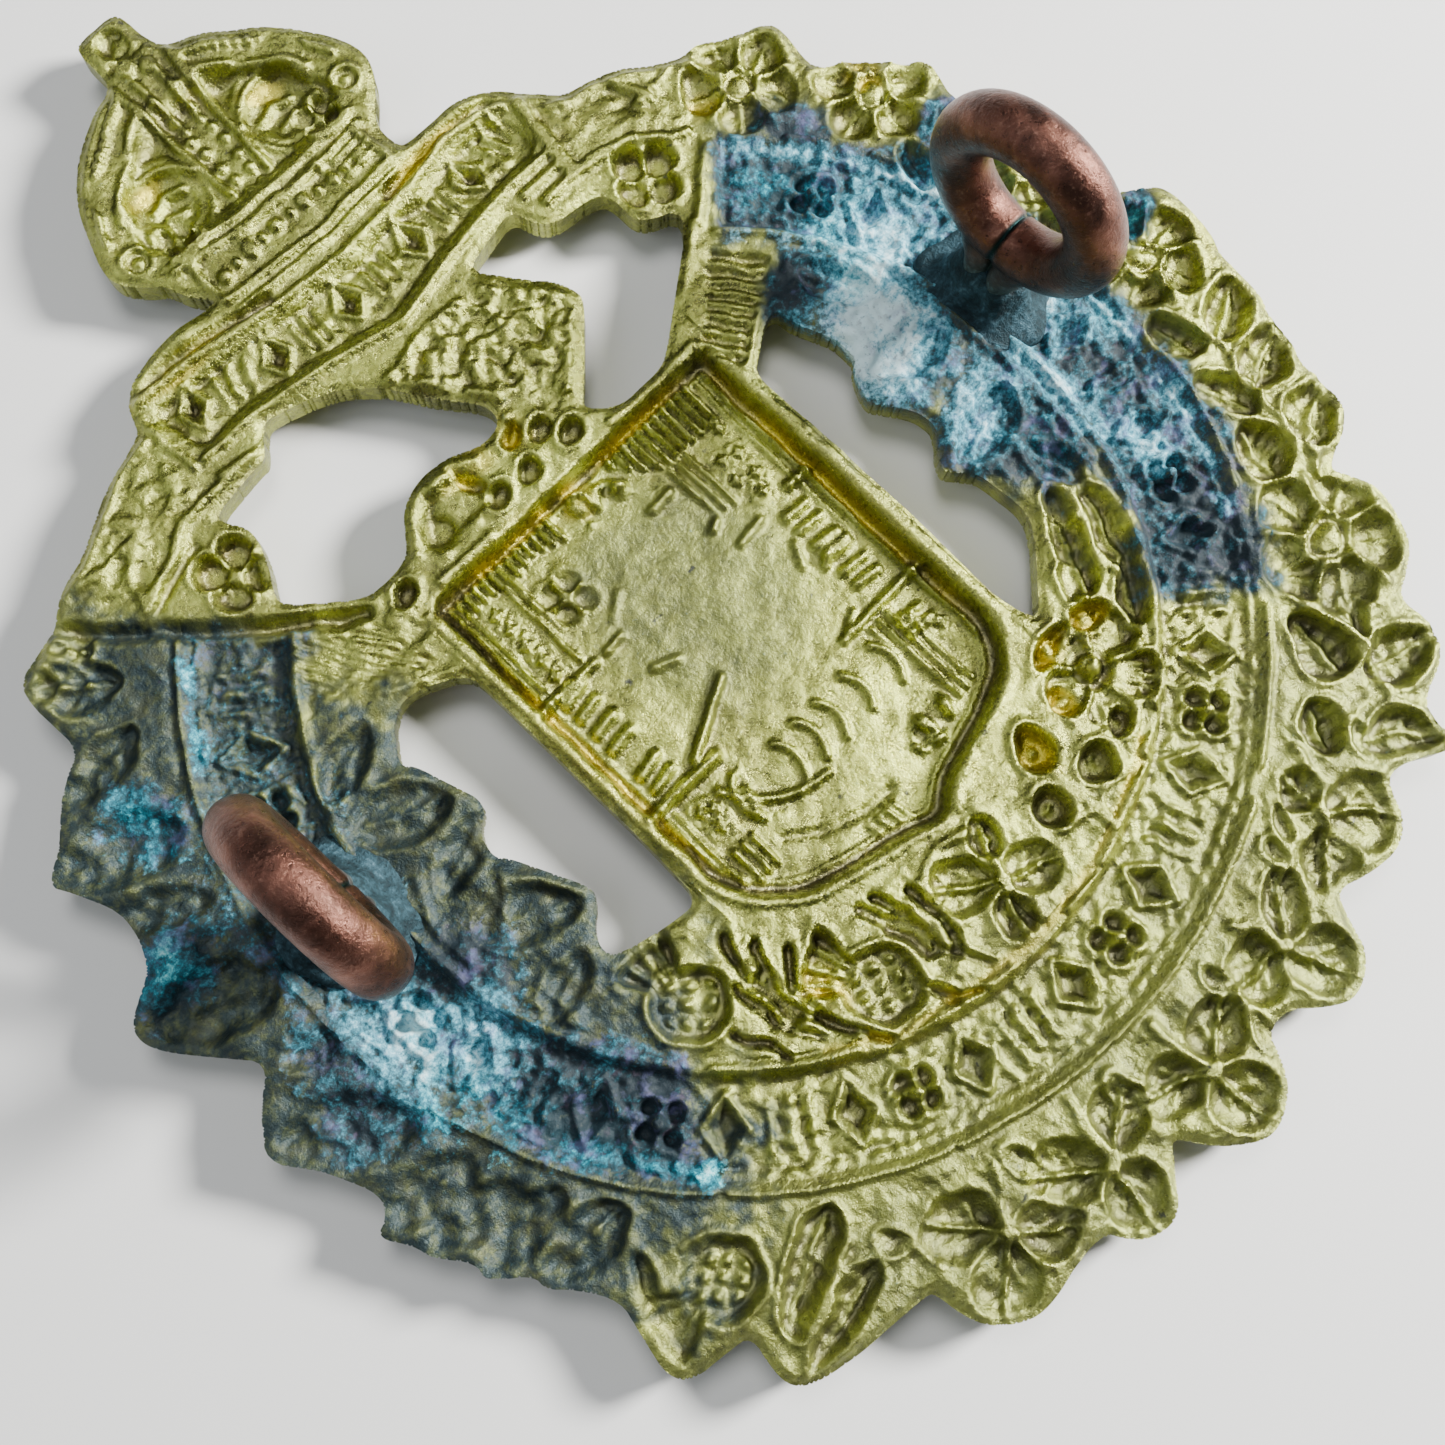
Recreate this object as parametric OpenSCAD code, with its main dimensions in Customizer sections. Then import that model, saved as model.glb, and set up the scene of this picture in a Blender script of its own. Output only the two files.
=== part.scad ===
// Cap badge: one die-struck brass plate with two copper wire loops brazed to its back.
// The badge lies on its face, with the loops up. +X is to the right as the back is seen,
// +Y is towards the crown, and +Z is out of the back. Millimetres.

/* [Plate] */
// Thickness of the struck sheet
sheet = 0.9; // [0.8:0.05:1.1]
// How far the highest relief stands out of the face
relief = 1.5; // [1.4:0.1:2.0]
// How far the shield and the crown's cushion are pushed out of the face
shield_relief = 1.2; // [1.0:0.1:1.3]
// How far the flowers and leaves are pushed out of the face
flower_relief = 0.7; // [0.5:0.1:0.8]
// How far the motto band and the title scroll are pushed out of the face
band_relief = 0.3; // [0.2:0.05:0.4]
// Width of the flat lip left round each hollow
lip = 0.45; // [0.4:0.05:0.5]

/* [Motto band] */
// Outer radius of the band
band_outer = 16.5; // [16.3:0.1:16.7]
// Inner radius of the band
band_inner = 13.0; // [12.9:0.1:13.2]
// Where the band ends on the rose side, in degrees from +X
band_end_right = 47; // [46:1:48]
// Where the band ends on the thistle side, in degrees from +X
band_end_left = 134.5; // [134:0.5:136]

/* [Shield] */
// Half the width of the shield over its border
shield_half = 6.5; // [6.3:0.1:6.6]
// Height of the shield's top edge above the band's centre
shield_top = 7.2; // [7.1:0.1:7.4]
// How far the shield's point lies below the band's centre
shield_point = 8.8; // [8.6:0.1:9]

/* [Loops] */
// Diameter of the copper wire
wire_d = 1.8; // [1.7:0.05:1.9]
// Radius of the loop at the middle of the wire
loop_r = 2.5; // [2.5:0.05:2.6]
// Radius of the hole that the split pin passes through
pin_hole_r = 1.65; // [1.65:0.01:1.7]
// Height of the hole's centre above the plate's back
loop_rise = 5.6; // [5.2:0.1:6.0]
// Distance of each loop from the badge's middle line
loop_x = 13.9; // [13.6:0.1:14.0]
// Height of the loops above the band's centre
loop_y = 2.0; // [1.6:0.1:2.4]
// Diameter of the shank that the two wire ends make
shank_d = 2.1; // [2.0:0.05:2.3]
// Diameter of the brazing fillet on the plate
braze_d = 3.2; // [3.0:0.1:3.3]
// Height of the brazing fillet
braze_h = 1.1; // [0.9:0.05:1.2]

/* [Hidden] */
$fn = 64;
back_z = relief + sheet;
loop_z = back_z + loop_rise;
// The band's centre lies this far below the middle of the badge's height
centre_drop = -3.3;
// A cut reaches this far past a face
past = 0.2;
// Radius of the flat land that each loop stands on
land_r = 2.0;
// Radii of the highest rim on the face, outside the band's lettering
rim_inner = 15.6;
rim_outer = 16.3;
// Depth and width of the split between the two wire ends
split_depth = 0.9;
split_gap = 0.12;

// A point at angle a and radius r from the band's centre
function polar(a, r) = [r * cos(a), r * sin(a)];

// Roses: [angle, radius to the middle, size]
roses = [
    [43, 18.5, 1.9], [29.5, 18.5, 2.0], [16, 18.4, 1.9],
    [357, 18.5, 2.0], [324.5, 18.9, 2.4]
];
// Single rose leaves: [angle, radius to the middle, length, width, turn]
rose_leaves = [
    [22.5, 18.0, 2.4, 1.6, 60], [6.5, 18.6, 2.6, 1.6, 60],
    [348.3, 19.1, 2.6, 1.7, 15], [342.2, 19.3, 2.6, 1.8, 18], [335.9, 19.3, 2.8, 1.9, 15],
    [348.2, 17.4, 2.4, 1.5, 80], [341.4, 17.5, 2.4, 1.5, 85], [334.3, 17.6, 2.2, 1.8, 70],
    [312.9, 18.0, 2.6, 1.8, 80], [305.8, 18.1, 2.4, 1.6, 60],
    [312.8, 20.4, 3.2, 2.0, -8], [306.0, 20.4, 3.4, 1.9, -42]
];
// Shamrocks: [angle, radius to the middle, size]
shamrocks = [
    [298, 19.2, 2.2], [284.6, 19.4, 2.2], [270.4, 19.6, 2.2], [257.8, 19.3, 2.1], [245.7, 19.5, 2.2]
];
// Angles of the jagged thistle leaves, and how far each one's tip reaches
thistle_leaves = [
    [139, 21.1], [147, 20.0], [154.5, 21.1], [163, 20.0], [170, 20.9], [176, 19.6],
    [184, 20.3], [190, 19.7], [195.5, 20.2], [203, 20.1], [209.5, 19.8], [215, 20.2]
];
// The thistle side's outline, as polar points with the notches between the leaves' tips
thistle_side = [
    [134.4, 16.6], [134.2, 20.1], [138.0, 20.9], [140.0, 21.0], [145.0, 19.6],
    [149.5, 20.3], [155.7, 21.2], [160.0, 19.5], [163.2, 19.5],
    [167.2, 20.2], [171.0, 20.8], [178.3, 18.4],
    [183.8, 20.25], [188.0, 19.6], [193.0, 19.0],
    [194.6, 20.25], [201.8, 20.0], [203.5, 19.7], [204.1, 19.95], [208.4, 19.55],
    [209.3, 19.7], [214.7, 19.8], [217.2, 20.7], [221.4, 21.4], [225.5, 20.3],
    [228.6, 21.6], [231.4, 21.3], [240.2, 20.0], [243.5, 16.6]
];
// Leaves that run inwards from the band on the thistle side and on the rose side
inner_left = [
    [-9.2, 9.6], [-7.0, 5.4], [-8.8, 5.3], [-9.7, 4.2], [-9.2, 3.2], [-8.8, 1.6], [-9.6, 0.9],
    [-9.7, 0.2], [-9.0, -1.2], [-8.3, -2.6], [-9.4, -4.0], [-8.9, -4.4], [-6.3, -5.0],
    [-6.3, -6.6], [-9.5, -9.5], [-13.4, -5], [-13.6, 5]
];
inner_right = [
    [9.2, 8.4], [8.2, 6.5], [8.8, 5.2], [9.1, 4.2], [8.7, 3.2], [8.3, 2.1], [9.0, 1.2],
    [9.5, 0.2], [8.8, -0.6], [8.3, -1.3], [9.1, -2.0], [9.3, -3.5], [9.1, -4.3], [8.0, -5.4],
    [7.0, -6.3], [6.2, -6.0], [5.5, -7.0], [9.5, -9.5], [13.4, -5], [13.6, 5]
];
crown_half = [
    [0, 28.3], [0.65, 28.3], [0.95, 28.0], [0.95, 26.7], [1.5, 26.2], [3.1, 25.3], [4.4, 24.1],
    [5.2, 22.7], [5.5, 21.7], [5.1, 20.7], [4.2, 19.7], [3.95, 18.4], [3.95, 17.4], [0, 17.4]
];
// The middle of the crown's cushion
cushion_y = 22.9;
// Half of the cushion between the crown's arch and its rim
cushion_half = [
    [0, 25.6], [1.2, 25.2], [2.9, 24.4], [4.2, 22.9], [4.7, 21.7], [4.1, 20.9], [0, 20.4]
];
scroll = [
    [-8.2, 17.3], [-7.8, 18.2], [-6.8, 18.7], [-5.5, 18.8], [-4.0, 18.4], [0, 18.0], [4.0, 18.4],
    [5.5, 18.5], [6.7, 18.3], [7.7, 17.8], [8.9, 16.3], [7.6, 14.6], [5.1, 14.4], [2.6, 13.9],
    [1.2, 13.4], [-2.3, 13.3], [-3.4, 14.2], [-4.9, 14.9], [-7.6, 14.4]
];
// The sunk ground of the scroll, between its two raised edges
scroll_ground = [
    [-7.5, 17.6], [-3.9, 17.3], [0, 16.8], [3.4, 17.1], [5.5, 17.5], [7.2, 17.0], [7.2, 15.3],
    [5.5, 15.3], [2.5, 14.9], [0, 14.4], [-2.5, 14.9], [-5.0, 15.3], [-7.5, 15.4]
];
// The folded ribbon beyond each end of the scroll, with a small flower below it
ribbon_left = [
    [-7.6, 17.1], [-9.1, 16.9], [-10.5, 16.4], [-12.1, 15.6], [-13.4, 15.1], [-14.1, 14.4],
    [-13.0, 11.0], [-9.0, 9.6], [-8.7, 10.6], [-8.0, 12.1], [-8.3, 13.6], [-6.2, 13.8],
    [-5.4, 14.8]
];
ribbon_right = [
    [8.4, 16.6], [8.9, 16.2], [10.2, 15.9], [11.6, 15.1], [12.9, 14.4], [13.8, 14.0],
    [13.0, 10.6], [8.4, 9.9], [8.7, 10.8], [7.6, 11.3], [7.7, 12.7], [7.2, 13.0],
    [5.5, 13.3], [5.1, 14.6]
];
// The crest that joins the shield to the scroll, and the low mound beside it
crest = [
    [-2.6, 13.6], [-1.1, 11.6], [0.2, 9.6], [0.2, 6.9], [2.2, 6.9], [2.1, 8.3], [4.2, 10.3],
    [4.5, 11.2], [4.2, 12.0], [2.6, 14.2]
];
mound = [
    [-7.0, 6.8], [-7.0, 8.4], [-5.6, 8.35], [-5.0, 8.6], [-4.3, 9.6], [-3.4, 10.05],
    [-2.1, 9.95], [-0.9, 9.5], [0.4, 9.5], [0.4, 6.8]
];

// A flat ring sector between two radii, from angle a0 to a1
module sector(r0, r1, a0, a1, steps = 48) {
    turn = (a1 - a0) / steps;
    polygon(concat(
        [for (i = [0:steps]) polar(a0 + i * turn, r1)],
        [for (i = [steps:-1:0]) polar(a0 + i * turn, r0)]
    ));
}

// A five-petalled rose seen flat, s from its middle to a petal's tip
module rose(s) {
    for (i = [0:4]) rotate(i * 72) translate([s * 0.55, 0]) circle(r = s * 0.46, $fn = 32);
    circle(r = s * 0.5, $fn = 32);
}

// Three round leaflets, s from the middle to a leaflet's tip
module shamrock(s) {
    for (i = [0:2]) rotate(-90 + i * 120) translate([s * 0.5, 0]) circle(r = s * 0.52, $fn = 32);
}

// A leaf with two pointed ends: where two circles cross
module leaf(length, width) {
    r = (length * length / 4 + width * width / 4) / width;
    intersection() {
        translate([0, r - width / 2]) circle(r = r);
        translate([0, width / 2 - r]) circle(r = r);
    }
}

// The outline of the shield, drawn in by inset
module shield_2d(inset = 0) {
    w = shield_half - inset;
    polygon([
        [-w, shield_top - inset], [w, shield_top - inset], [w, -5.0], [w - 0.6, -6.3],
        [w - 2.0, -7.4], [0, inset - shield_point], [2.0 - w, -7.4], [0.6 - w, -6.3], [-w, -5.0]
    ]);
}

// The bar from the shield's corner to the band, on side s (1 or -1), and its ribs
module bar_2d(s) {
    polygon([
        [s * 4.6, 7.0], [s * 8.9, 10.4], [s * 11.0, 10.4], [s * 10.0, 7.3], [s * 6.4, 4.9],
        [s * 5.8, 6.0]
    ]);
}

module bar_ribs_2d(s) {
    for (i = [0:3]) translate([s * (7.1 + i * 0.5), 7.4 + i * 0.4]) rotate(s * -55)
        square([1.8, 0.25], center = true);
}

module crown_2d() {
    polygon(crown_half);
    mirror([1, 0]) polygon(crown_half);
}

module cushion_2d() {
    polygon(cushion_half);
    mirror([1, 0]) polygon(cushion_half);
}

// The flat ground outside the band that carries the wreath
module wreath_ground_2d() {
    sector(16.2, 18.0, 243, 306);
    sector(16.2, 19.6, 302, 354);
    sector(16.2, 18.4, 350, 360 + band_end_right - 2);
    polygon([for (p = thistle_side) polar(p[0], p[1])]);
}

module wreath_motifs_2d(grow = 0) {
    for (m = roses) translate(polar(m[0], m[1])) rotate(m[0] + 36) rose(m[2] + grow);
    for (m = shamrocks) translate(polar(m[0], m[1])) rotate(m[0] + 90) shamrock(m[2] + grow);
    for (m = rose_leaves)
        translate(polar(m[0], m[1])) rotate(m[4]) leaf(m[2] + 2 * grow, m[3] + 2 * grow);
}

// The jagged leaves' raised middles, which stop short of the plate's edge
module thistle_leaves_2d(grow = 0) {
    for (m = thistle_leaves) translate(polar(m[0], (m[1] + 16.2) / 2)) rotate(m[0])
        leaf(m[1] - 16.2 - 1.2 + 2 * grow, 1.3 + 2 * grow);
}

// The sprig between the band and the shield: thistles, a shamrock and a rose
module sprig_motifs_2d(grow = 0) {
    translate([-8.9, -6.6]) circle(r = 1.25 + grow);
    translate([-4.4, -10.3]) circle(r = 1.2 + grow);
    translate([0.1, -10.7]) shamrock(1.8 + grow);
    translate([6.9, -8.8]) rotate(54) rose(1.9 + grow);
    translate([3.7, -9.1]) rotate(90) leaf(1.8 + 2 * grow, 1.1 + 2 * grow);
    for (y = [-2, 1, 4]) translate([-11.2, y]) leaf(2.4 + 2 * grow, 1.4 + 2 * grow);
    for (y = [-3.5, -0.5]) translate([11.0, y]) leaf(2.4 + 2 * grow, 1.4 + 2 * grow);
}

// Everything that the die cuts round, with its openings left clear
module plate_2d() {
    sector(9.9, band_outer + 0.1, band_end_left, 360 + band_end_right, 96);
    wreath_ground_2d();
    wreath_motifs_2d(0.1);
    polygon(inner_left);
    polygon(inner_right);
    sector(8.2, 13.2, 224, 316);
    shield_2d();
    bar_2d(1);
    bar_2d(-1);
    polygon(crest);
    polygon(mound);
    polygon(scroll);
    polygon(ribbon_left);
    polygon(ribbon_right);
    crown_2d();
}

// The openings beside the shield, which the band's inner leaves leave free
module side_windows_2d() {
    difference() {
        intersection() {
            translate([-11, -6.2]) square([22, 11.4]);
            circle(r = 11.4);
        }
        shield_2d();
        polygon(inner_left);
        polygon(inner_right);
        bar_2d(1);
        bar_2d(-1);
    }
}

// The band's sunk ground stops short of both its rims and of the lands under the loops
module band_ground_2d() {
    difference() {
        sector(band_inner + lip, band_outer - lip, band_end_left + 1.5, 360 + band_end_right - 1.5, 72);
        for (s = [-1, 1]) translate([s * loop_x, loop_y]) circle(r = land_r);
    }
}

// A flat shape as a boss on the face, or as a hollow in the back if deep is set
module struck(height, deep) {
    translate([0, 0, (deep ? back_z : relief) - height]) linear_extrude(height + past) children();
}

// Every boss on the face has its hollow in the back, which keeps the sheet one thickness
module struck_motifs(deep, grow) {
    struck(flower_relief, deep) {
        wreath_motifs_2d(grow);
        thistle_leaves_2d(grow);
        sprig_motifs_2d(grow);
        for (s = [-1, 1]) bar_ribs_2d(s);
    }
    struck(band_relief, deep) {
        band_ground_2d();
        polygon(scroll_ground);
    }
}

module struck_plate() {
    color("darkkhaki") translate([0, centre_drop, 0]) difference() {
        union() {
            difference() {
                translate([0, 0, relief]) linear_extrude(sheet) plate_2d();
                translate([0, 0, -past]) linear_extrude(back_z + 2 * past) side_windows_2d();
            }
            struck_motifs(false, -0.05);
            struck(shield_relief, false) shield_2d(0.1);
            // The crown stands out furthest, with the rim that the badge lies on
            struck(relief, false) translate([0, cushion_y]) scale(1.14)
                translate([0, -cushion_y]) cushion_2d();
            struck(relief, false) sector(rim_inner, rim_outer, 190, 350, 72);
        }
        struck_motifs(true, -lip);
        struck(shield_relief, true) shield_2d(lip + 0.3);
        struck(shield_relief, true) cushion_2d();
    }
}

// A wire loop whose two ends turn down together into one shank
module wire_loop(side) {
    color("sienna") translate([side * loop_x, loop_y + centre_drop, 0]) difference() {
        union() {
            translate([0, 0, loop_z]) rotate([0, 90, 0]) rotate_extrude()
                translate([loop_r, 0]) circle(d = wire_d, $fn = 32);
            translate([0, 0, back_z]) cylinder(d = shank_d, h = loop_rise - loop_r + 0.3);
        }
        translate([-wire_d, 0, loop_z]) rotate([0, 90, 0]) cylinder(r = pin_hole_r, h = 2 * wire_d);
        translate([-shank_d, -split_gap / 2, loop_z - loop_r - split_depth])
            cube([2 * shank_d, split_gap, split_depth + loop_r - pin_hole_r + past]);
    }
}

// The brazing metal drawn up round a shank's foot
module braze(side) {
    color("slategray") translate([side * loop_x, loop_y + centre_drop, back_z]) difference() {
        cylinder(d1 = braze_d, d2 = shank_d + 0.3, h = braze_h);
        translate([0, 0, -past]) cylinder(d = shank_d, h = braze_h + 2 * past);
    }
}

struck_plate();
wire_loop(-1);  // loop_left
wire_loop(1);  // loop_right
braze(-1);  // braze_left
braze(1);  // braze_right
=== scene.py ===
import math

import bmesh
import bpy
import numpy as np
from mathutils import Matrix, Vector


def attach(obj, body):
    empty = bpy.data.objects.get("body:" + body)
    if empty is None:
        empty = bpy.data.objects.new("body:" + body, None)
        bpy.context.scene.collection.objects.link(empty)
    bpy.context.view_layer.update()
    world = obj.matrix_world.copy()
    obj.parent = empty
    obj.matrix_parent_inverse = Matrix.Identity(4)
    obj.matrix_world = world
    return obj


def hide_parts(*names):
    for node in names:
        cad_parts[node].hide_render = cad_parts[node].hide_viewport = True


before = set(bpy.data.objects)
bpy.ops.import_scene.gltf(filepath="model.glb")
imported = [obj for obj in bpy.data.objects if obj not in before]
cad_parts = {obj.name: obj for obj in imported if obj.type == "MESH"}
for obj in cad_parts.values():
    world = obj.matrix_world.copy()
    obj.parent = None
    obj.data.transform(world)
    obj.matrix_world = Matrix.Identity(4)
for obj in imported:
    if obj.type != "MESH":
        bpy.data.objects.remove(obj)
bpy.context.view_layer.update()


# ---------------------------------------------------------------- camera, floor and light
# The badge lies on its face on a pale bench top, and is seen from close above its back.
# Soft light comes from one side, low enough to show the struck relief.

MM = 0.001
BAND_Y = -3.3                       # the band's centre, below the middle of the badge
BACK = 2.4                          # height of the plate's back in the part's own frame
BENCH = 0.5                         # height of the bench top, which the face's deepest points touch


def place(x, y, z):
    """A point given from the band's centre, x and y across the back and z out of it, in mm."""
    return Vector((x, y + BAND_Y, z + BACK)) * MM


def look(thing, eye, target, up=(0, 1, 0)):
    """Turns a camera or a lamp at eye towards target."""
    back = (eye - target).normalized()
    side = Vector(up).cross(back).normalized()
    turn = Matrix((side, back.cross(side), back)).transposed().to_4x4()
    thing.matrix_world = Matrix.Translation(eye) @ turn


ROLL = math.radians(46)
camera = bpy.data.objects.new("camera", bpy.data.cameras.new("camera"))
bpy.context.scene.collection.objects.link(camera)
camera.data.lens = 42.35
camera.data.sensor_width = 36
camera.data.clip_start = 0.002
look(camera, place(-10.7, -7.2, 49.8), place(-2.2, -1.8, 0), (math.sin(ROLL), math.cos(ROLL), 0))
bpy.context.scene.camera = camera

LAMPS = [
    # name, from the band's centre in mm, size in mm, watts, colour
    ("key", (150, -70, 110), 50, 1.58, (1.0, 0.99, 0.96)),
    ("fill", (-130, 60, 150), 160, 0.14, (0.90, 0.95, 1.0)),
    ("top", (40, 60, 220), 90, 0.24, (1.0, 1.0, 1.0)),
]
for name, at, size, watts, colour in LAMPS:
    lamp = bpy.data.objects.new(name, bpy.data.lights.new(name, "AREA"))
    bpy.context.scene.collection.objects.link(lamp)
    lamp.data.shape = "DISK"
    lamp.data.size = size * MM
    lamp.data.energy = watts
    lamp.data.color = colour
    look(lamp, place(*at), place(0, 0, 0))

world = bpy.data.worlds.new("studio")
bpy.context.scene.world = world
world.use_nodes = True
world.node_tree.nodes["Background"].inputs["Color"].default_value = (0.80, 0.83, 0.86, 1)
world.node_tree.nodes["Background"].inputs["Strength"].default_value = 0.135


class Finish:
    """A procedural material whose patterns are in millimetres on the object's own coordinates."""

    def __init__(self, name):
        self.material = bpy.data.materials.new(name)
        self.material.use_nodes = True
        self.tree = self.material.node_tree
        self.shader = self.tree.nodes["Principled BSDF"]
        self.out = self.tree.nodes["Material Output"]
        scale = self.tree.nodes.new("ShaderNodeVectorMath")
        scale.operation = "SCALE"
        scale.inputs["Scale"].default_value = 1000
        self.wire(self.tree.nodes.new("ShaderNodeTexCoord").outputs["Object"], scale.inputs[0])
        self.mm = scale.outputs[0]

    def wire(self, source, target):
        """Feeds a socket with a number, a colour or another node's value."""
        if isinstance(source, (int, float)):
            target.default_value = source
        elif isinstance(source, tuple):
            target.default_value = (*source, 1)
        else:
            self.tree.links.new(source, target)

    def noise(self, per_mm, detail=3, rough=0.55, warp=0, offset=(0, 0, 0)):
        """Smooth random mottling, per_mm lumps to the millimetre."""
        shift = self.tree.nodes.new("ShaderNodeVectorMath")
        self.wire(self.mm, shift.inputs[0])
        shift.inputs[1].default_value = offset
        node = self.tree.nodes.new("ShaderNodeTexNoise")
        self.wire(shift.outputs[0], node.inputs["Vector"])
        node.inputs["Scale"].default_value = per_mm
        node.inputs["Detail"].default_value = detail
        node.inputs["Roughness"].default_value = rough
        node.inputs["Distortion"].default_value = warp
        return node.outputs["Fac"]

    def own(self, name):
        """A value that the mesh carries at each of its points."""
        node = self.tree.nodes.new("ShaderNodeAttribute")
        node.attribute_name = name
        return node.outputs["Fac"]

    def math(self, kind, a, b=0.0):
        node = self.tree.nodes.new("ShaderNodeMath")
        node.operation = kind
        self.wire(a, node.inputs[0])
        self.wire(b, node.inputs[1])
        return node.outputs[0]

    def span(self, value, low, high, to_low=0.0, to_high=1.0):
        """Stretches low to high over to_low to to_high, and stops at both ends."""
        node = self.tree.nodes.new("ShaderNodeMapRange")
        self.wire(value, node.inputs["Value"])
        for slot, number in zip(("From Min", "From Max", "To Min", "To Max"),
                                (low, high, to_low, to_high)):
            node.inputs[slot].default_value = number
        return node.outputs["Result"]

    def mix(self, factor, a, b, kind="MIX"):
        node = self.tree.nodes.new("ShaderNodeMix")
        node.data_type = "RGBA"
        node.blend_type = kind
        self.wire(factor, node.inputs["Factor"])
        self.wire(a, node.inputs["A"])
        self.wire(b, node.inputs["B"])
        return node.outputs["Result"]

    def ramp(self, value, stops):
        """Colours for a value, from (place, colour) stops in rising order."""
        node = self.tree.nodes.new("ShaderNodeValToRGB")
        self.wire(value, node.inputs["Fac"])
        ends = node.color_ramp.elements
        ends[0].position, ends[0].color = stops[0][0], (*stops[0][1], 1)
        ends[1].position, ends[1].color = stops[-1][0], (*stops[-1][1], 1)
        for at, colour in stops[1:-1]:
            ends.new(at).color = (*colour, 1)
        return node.outputs["Color"]

    def bump(self, height_mm):
        node = self.tree.nodes.new("ShaderNodeBump")
        node.inputs["Distance"].default_value = MM
        self.wire(height_mm, node.inputs["Height"])
        self.wire(node.outputs["Normal"], self.shader.inputs["Normal"])

    def set(self, **sockets):
        for name, value in sockets.items():
            self.wire(value, self.shader.inputs[name.replace("_", " ")])


floor_mesh = bmesh.new()
bmesh.ops.create_grid(floor_mesh, x_segments=1, y_segments=1, size=0.6,
                      matrix=Matrix.Translation((0, 0, BENCH * MM)))
floor_data = bpy.data.meshes.new("bench_top")
floor_mesh.to_mesh(floor_data)
floor = bpy.data.objects.new("bench_top", floor_data)
bpy.context.scene.collection.objects.link(floor)
bench = Finish("bench_top")
bench.set(Base_Color=bench.mix(bench.noise(0.02), (0.70, 0.70, 0.69), (0.76, 0.76, 0.75)), Roughness=0.8)
floor_data.materials.append(bench.material)


# ---------------------------------------------------------------- struck plate: the sheet
# One brass sheet, struck between two dies so that its back is the hollow of its face, then
# pierced and clipped round the wreath. It is worked out on a fine net of points: every motif
# presses its hollow into the net, and the net is cut to the outline.

NET = 0.06                          # spacing of the net's points
SHEET = 0.9                         # thickness of the brass
WEST, EAST, SOUTH, NORTH = -21.0, 21.0, -22.2, 28.8

xs = np.arange(WEST, EAST + NET / 2, NET)
ys = np.arange(SOUTH, NORTH + NET / 2, NET)
X, Y = np.meshgrid(xs, ys)
Z = np.zeros(X.shape)
radius = np.hypot(X, Y)
bearing = np.degrees(np.arctan2(Y, X)) % 360

rng = np.random.default_rng(1914)


def soft(t):
    """Goes smoothly from 0 to 1 as t does."""
    t = np.clip(t, 0, 1)
    return t * t * (3 - 2 * t)


def blur(field, steps):
    """Evens a field out over its neighbours, as struck metal does at a crease."""
    for _ in range(steps):
        field = (np.roll(field, 1, 0) + 2 * field + np.roll(field, -1, 0)) / 4
        field = (np.roll(field, 1, 1) + 2 * field + np.roll(field, -1, 1)) / 4
    return field


def grain(size):
    """A field of smooth random lumps about size mm across, between -1 and 1."""
    rows = int((NORTH - SOUTH) / size) + 3
    cols = int((EAST - WEST) / size) + 3
    coarse = rng.uniform(-1, 1, (rows, cols))
    v = (ys - SOUTH) / size
    u = (xs - WEST) / size
    i = v.astype(int)
    j = u.astype(int)
    fv = soft(v - i)[:, None]
    fu = soft(u - j)[None, :]
    low = coarse[i][:, j] * (1 - fu) + coarse[i][:, j + 1] * fu
    high = coarse[i + 1][:, j] * (1 - fu) + coarse[i + 1][:, j + 1] * fu
    return low * (1 - fv) + high * fv


def rounded(points, cut=0.3):
    """Rounds a closed outline by taking up to cut mm off each end of its edges."""
    p = np.array(points, float)
    ahead = np.roll(p, -1, 0) - p
    share = np.minimum(0.25, cut / np.maximum(np.hypot(*ahead.T), 1e-6))[:, None]
    return np.stack([p + share * ahead, p + (1 - share) * ahead], 1).reshape(-1, 2)


def window(points, reach):
    """The part of the net within reach of some points."""
    p = np.array(points, float)
    rows = slice(max(0, int((p[:, 1].min() - reach - SOUTH) / NET)),
                 int((p[:, 1].max() + reach - SOUTH) / NET) + 2)
    cols = slice(max(0, int((p[:, 0].min() - reach - WEST) / NET)),
                 int((p[:, 0].max() + reach - WEST) / NET) + 2)
    return rows, cols


def line_distance(points, part, closed=False):
    """Distance from each net point of a part to a line of straight stretches."""
    p = np.array(points, float)
    ends = np.roll(p, -1, 0) if closed else p[1:]
    starts = p if closed else p[:-1]
    best = np.full(X[part].shape, 99.0)
    for a, b in zip(starts, ends):
        d = b - a
        t = ((X[part] - a[0]) * d[0] + (Y[part] - a[1]) * d[1]) / max(d @ d, 1e-9)
        t = np.clip(t, 0, 1)
        best = np.minimum(best, np.hypot(X[part] - a[0] - t * d[0], Y[part] - a[1] - t * d[1]))
    return best


def inside(points, part):
    """Which net points of a part lie inside an outline."""
    p = np.array(points, float)
    within = np.zeros(X[part].shape, bool)
    for a, b in zip(p, np.roll(p, -1, 0)):
        if a[1] == b[1]:
            continue
        crosses = (a[1] > Y[part]) != (b[1] > Y[part])
        within ^= crosses & (X[part] < a[0] + (Y[part] - a[1]) * (b[0] - a[0]) / (b[1] - a[1]))
    return within


def depth_in(points, reach):
    """A window round an outline, and how deep each net point of it lies inside the outline."""
    part = window(points, reach)
    d = line_distance(points, part, closed=True)
    return part, np.where(inside(points, part), d, -d)


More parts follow.
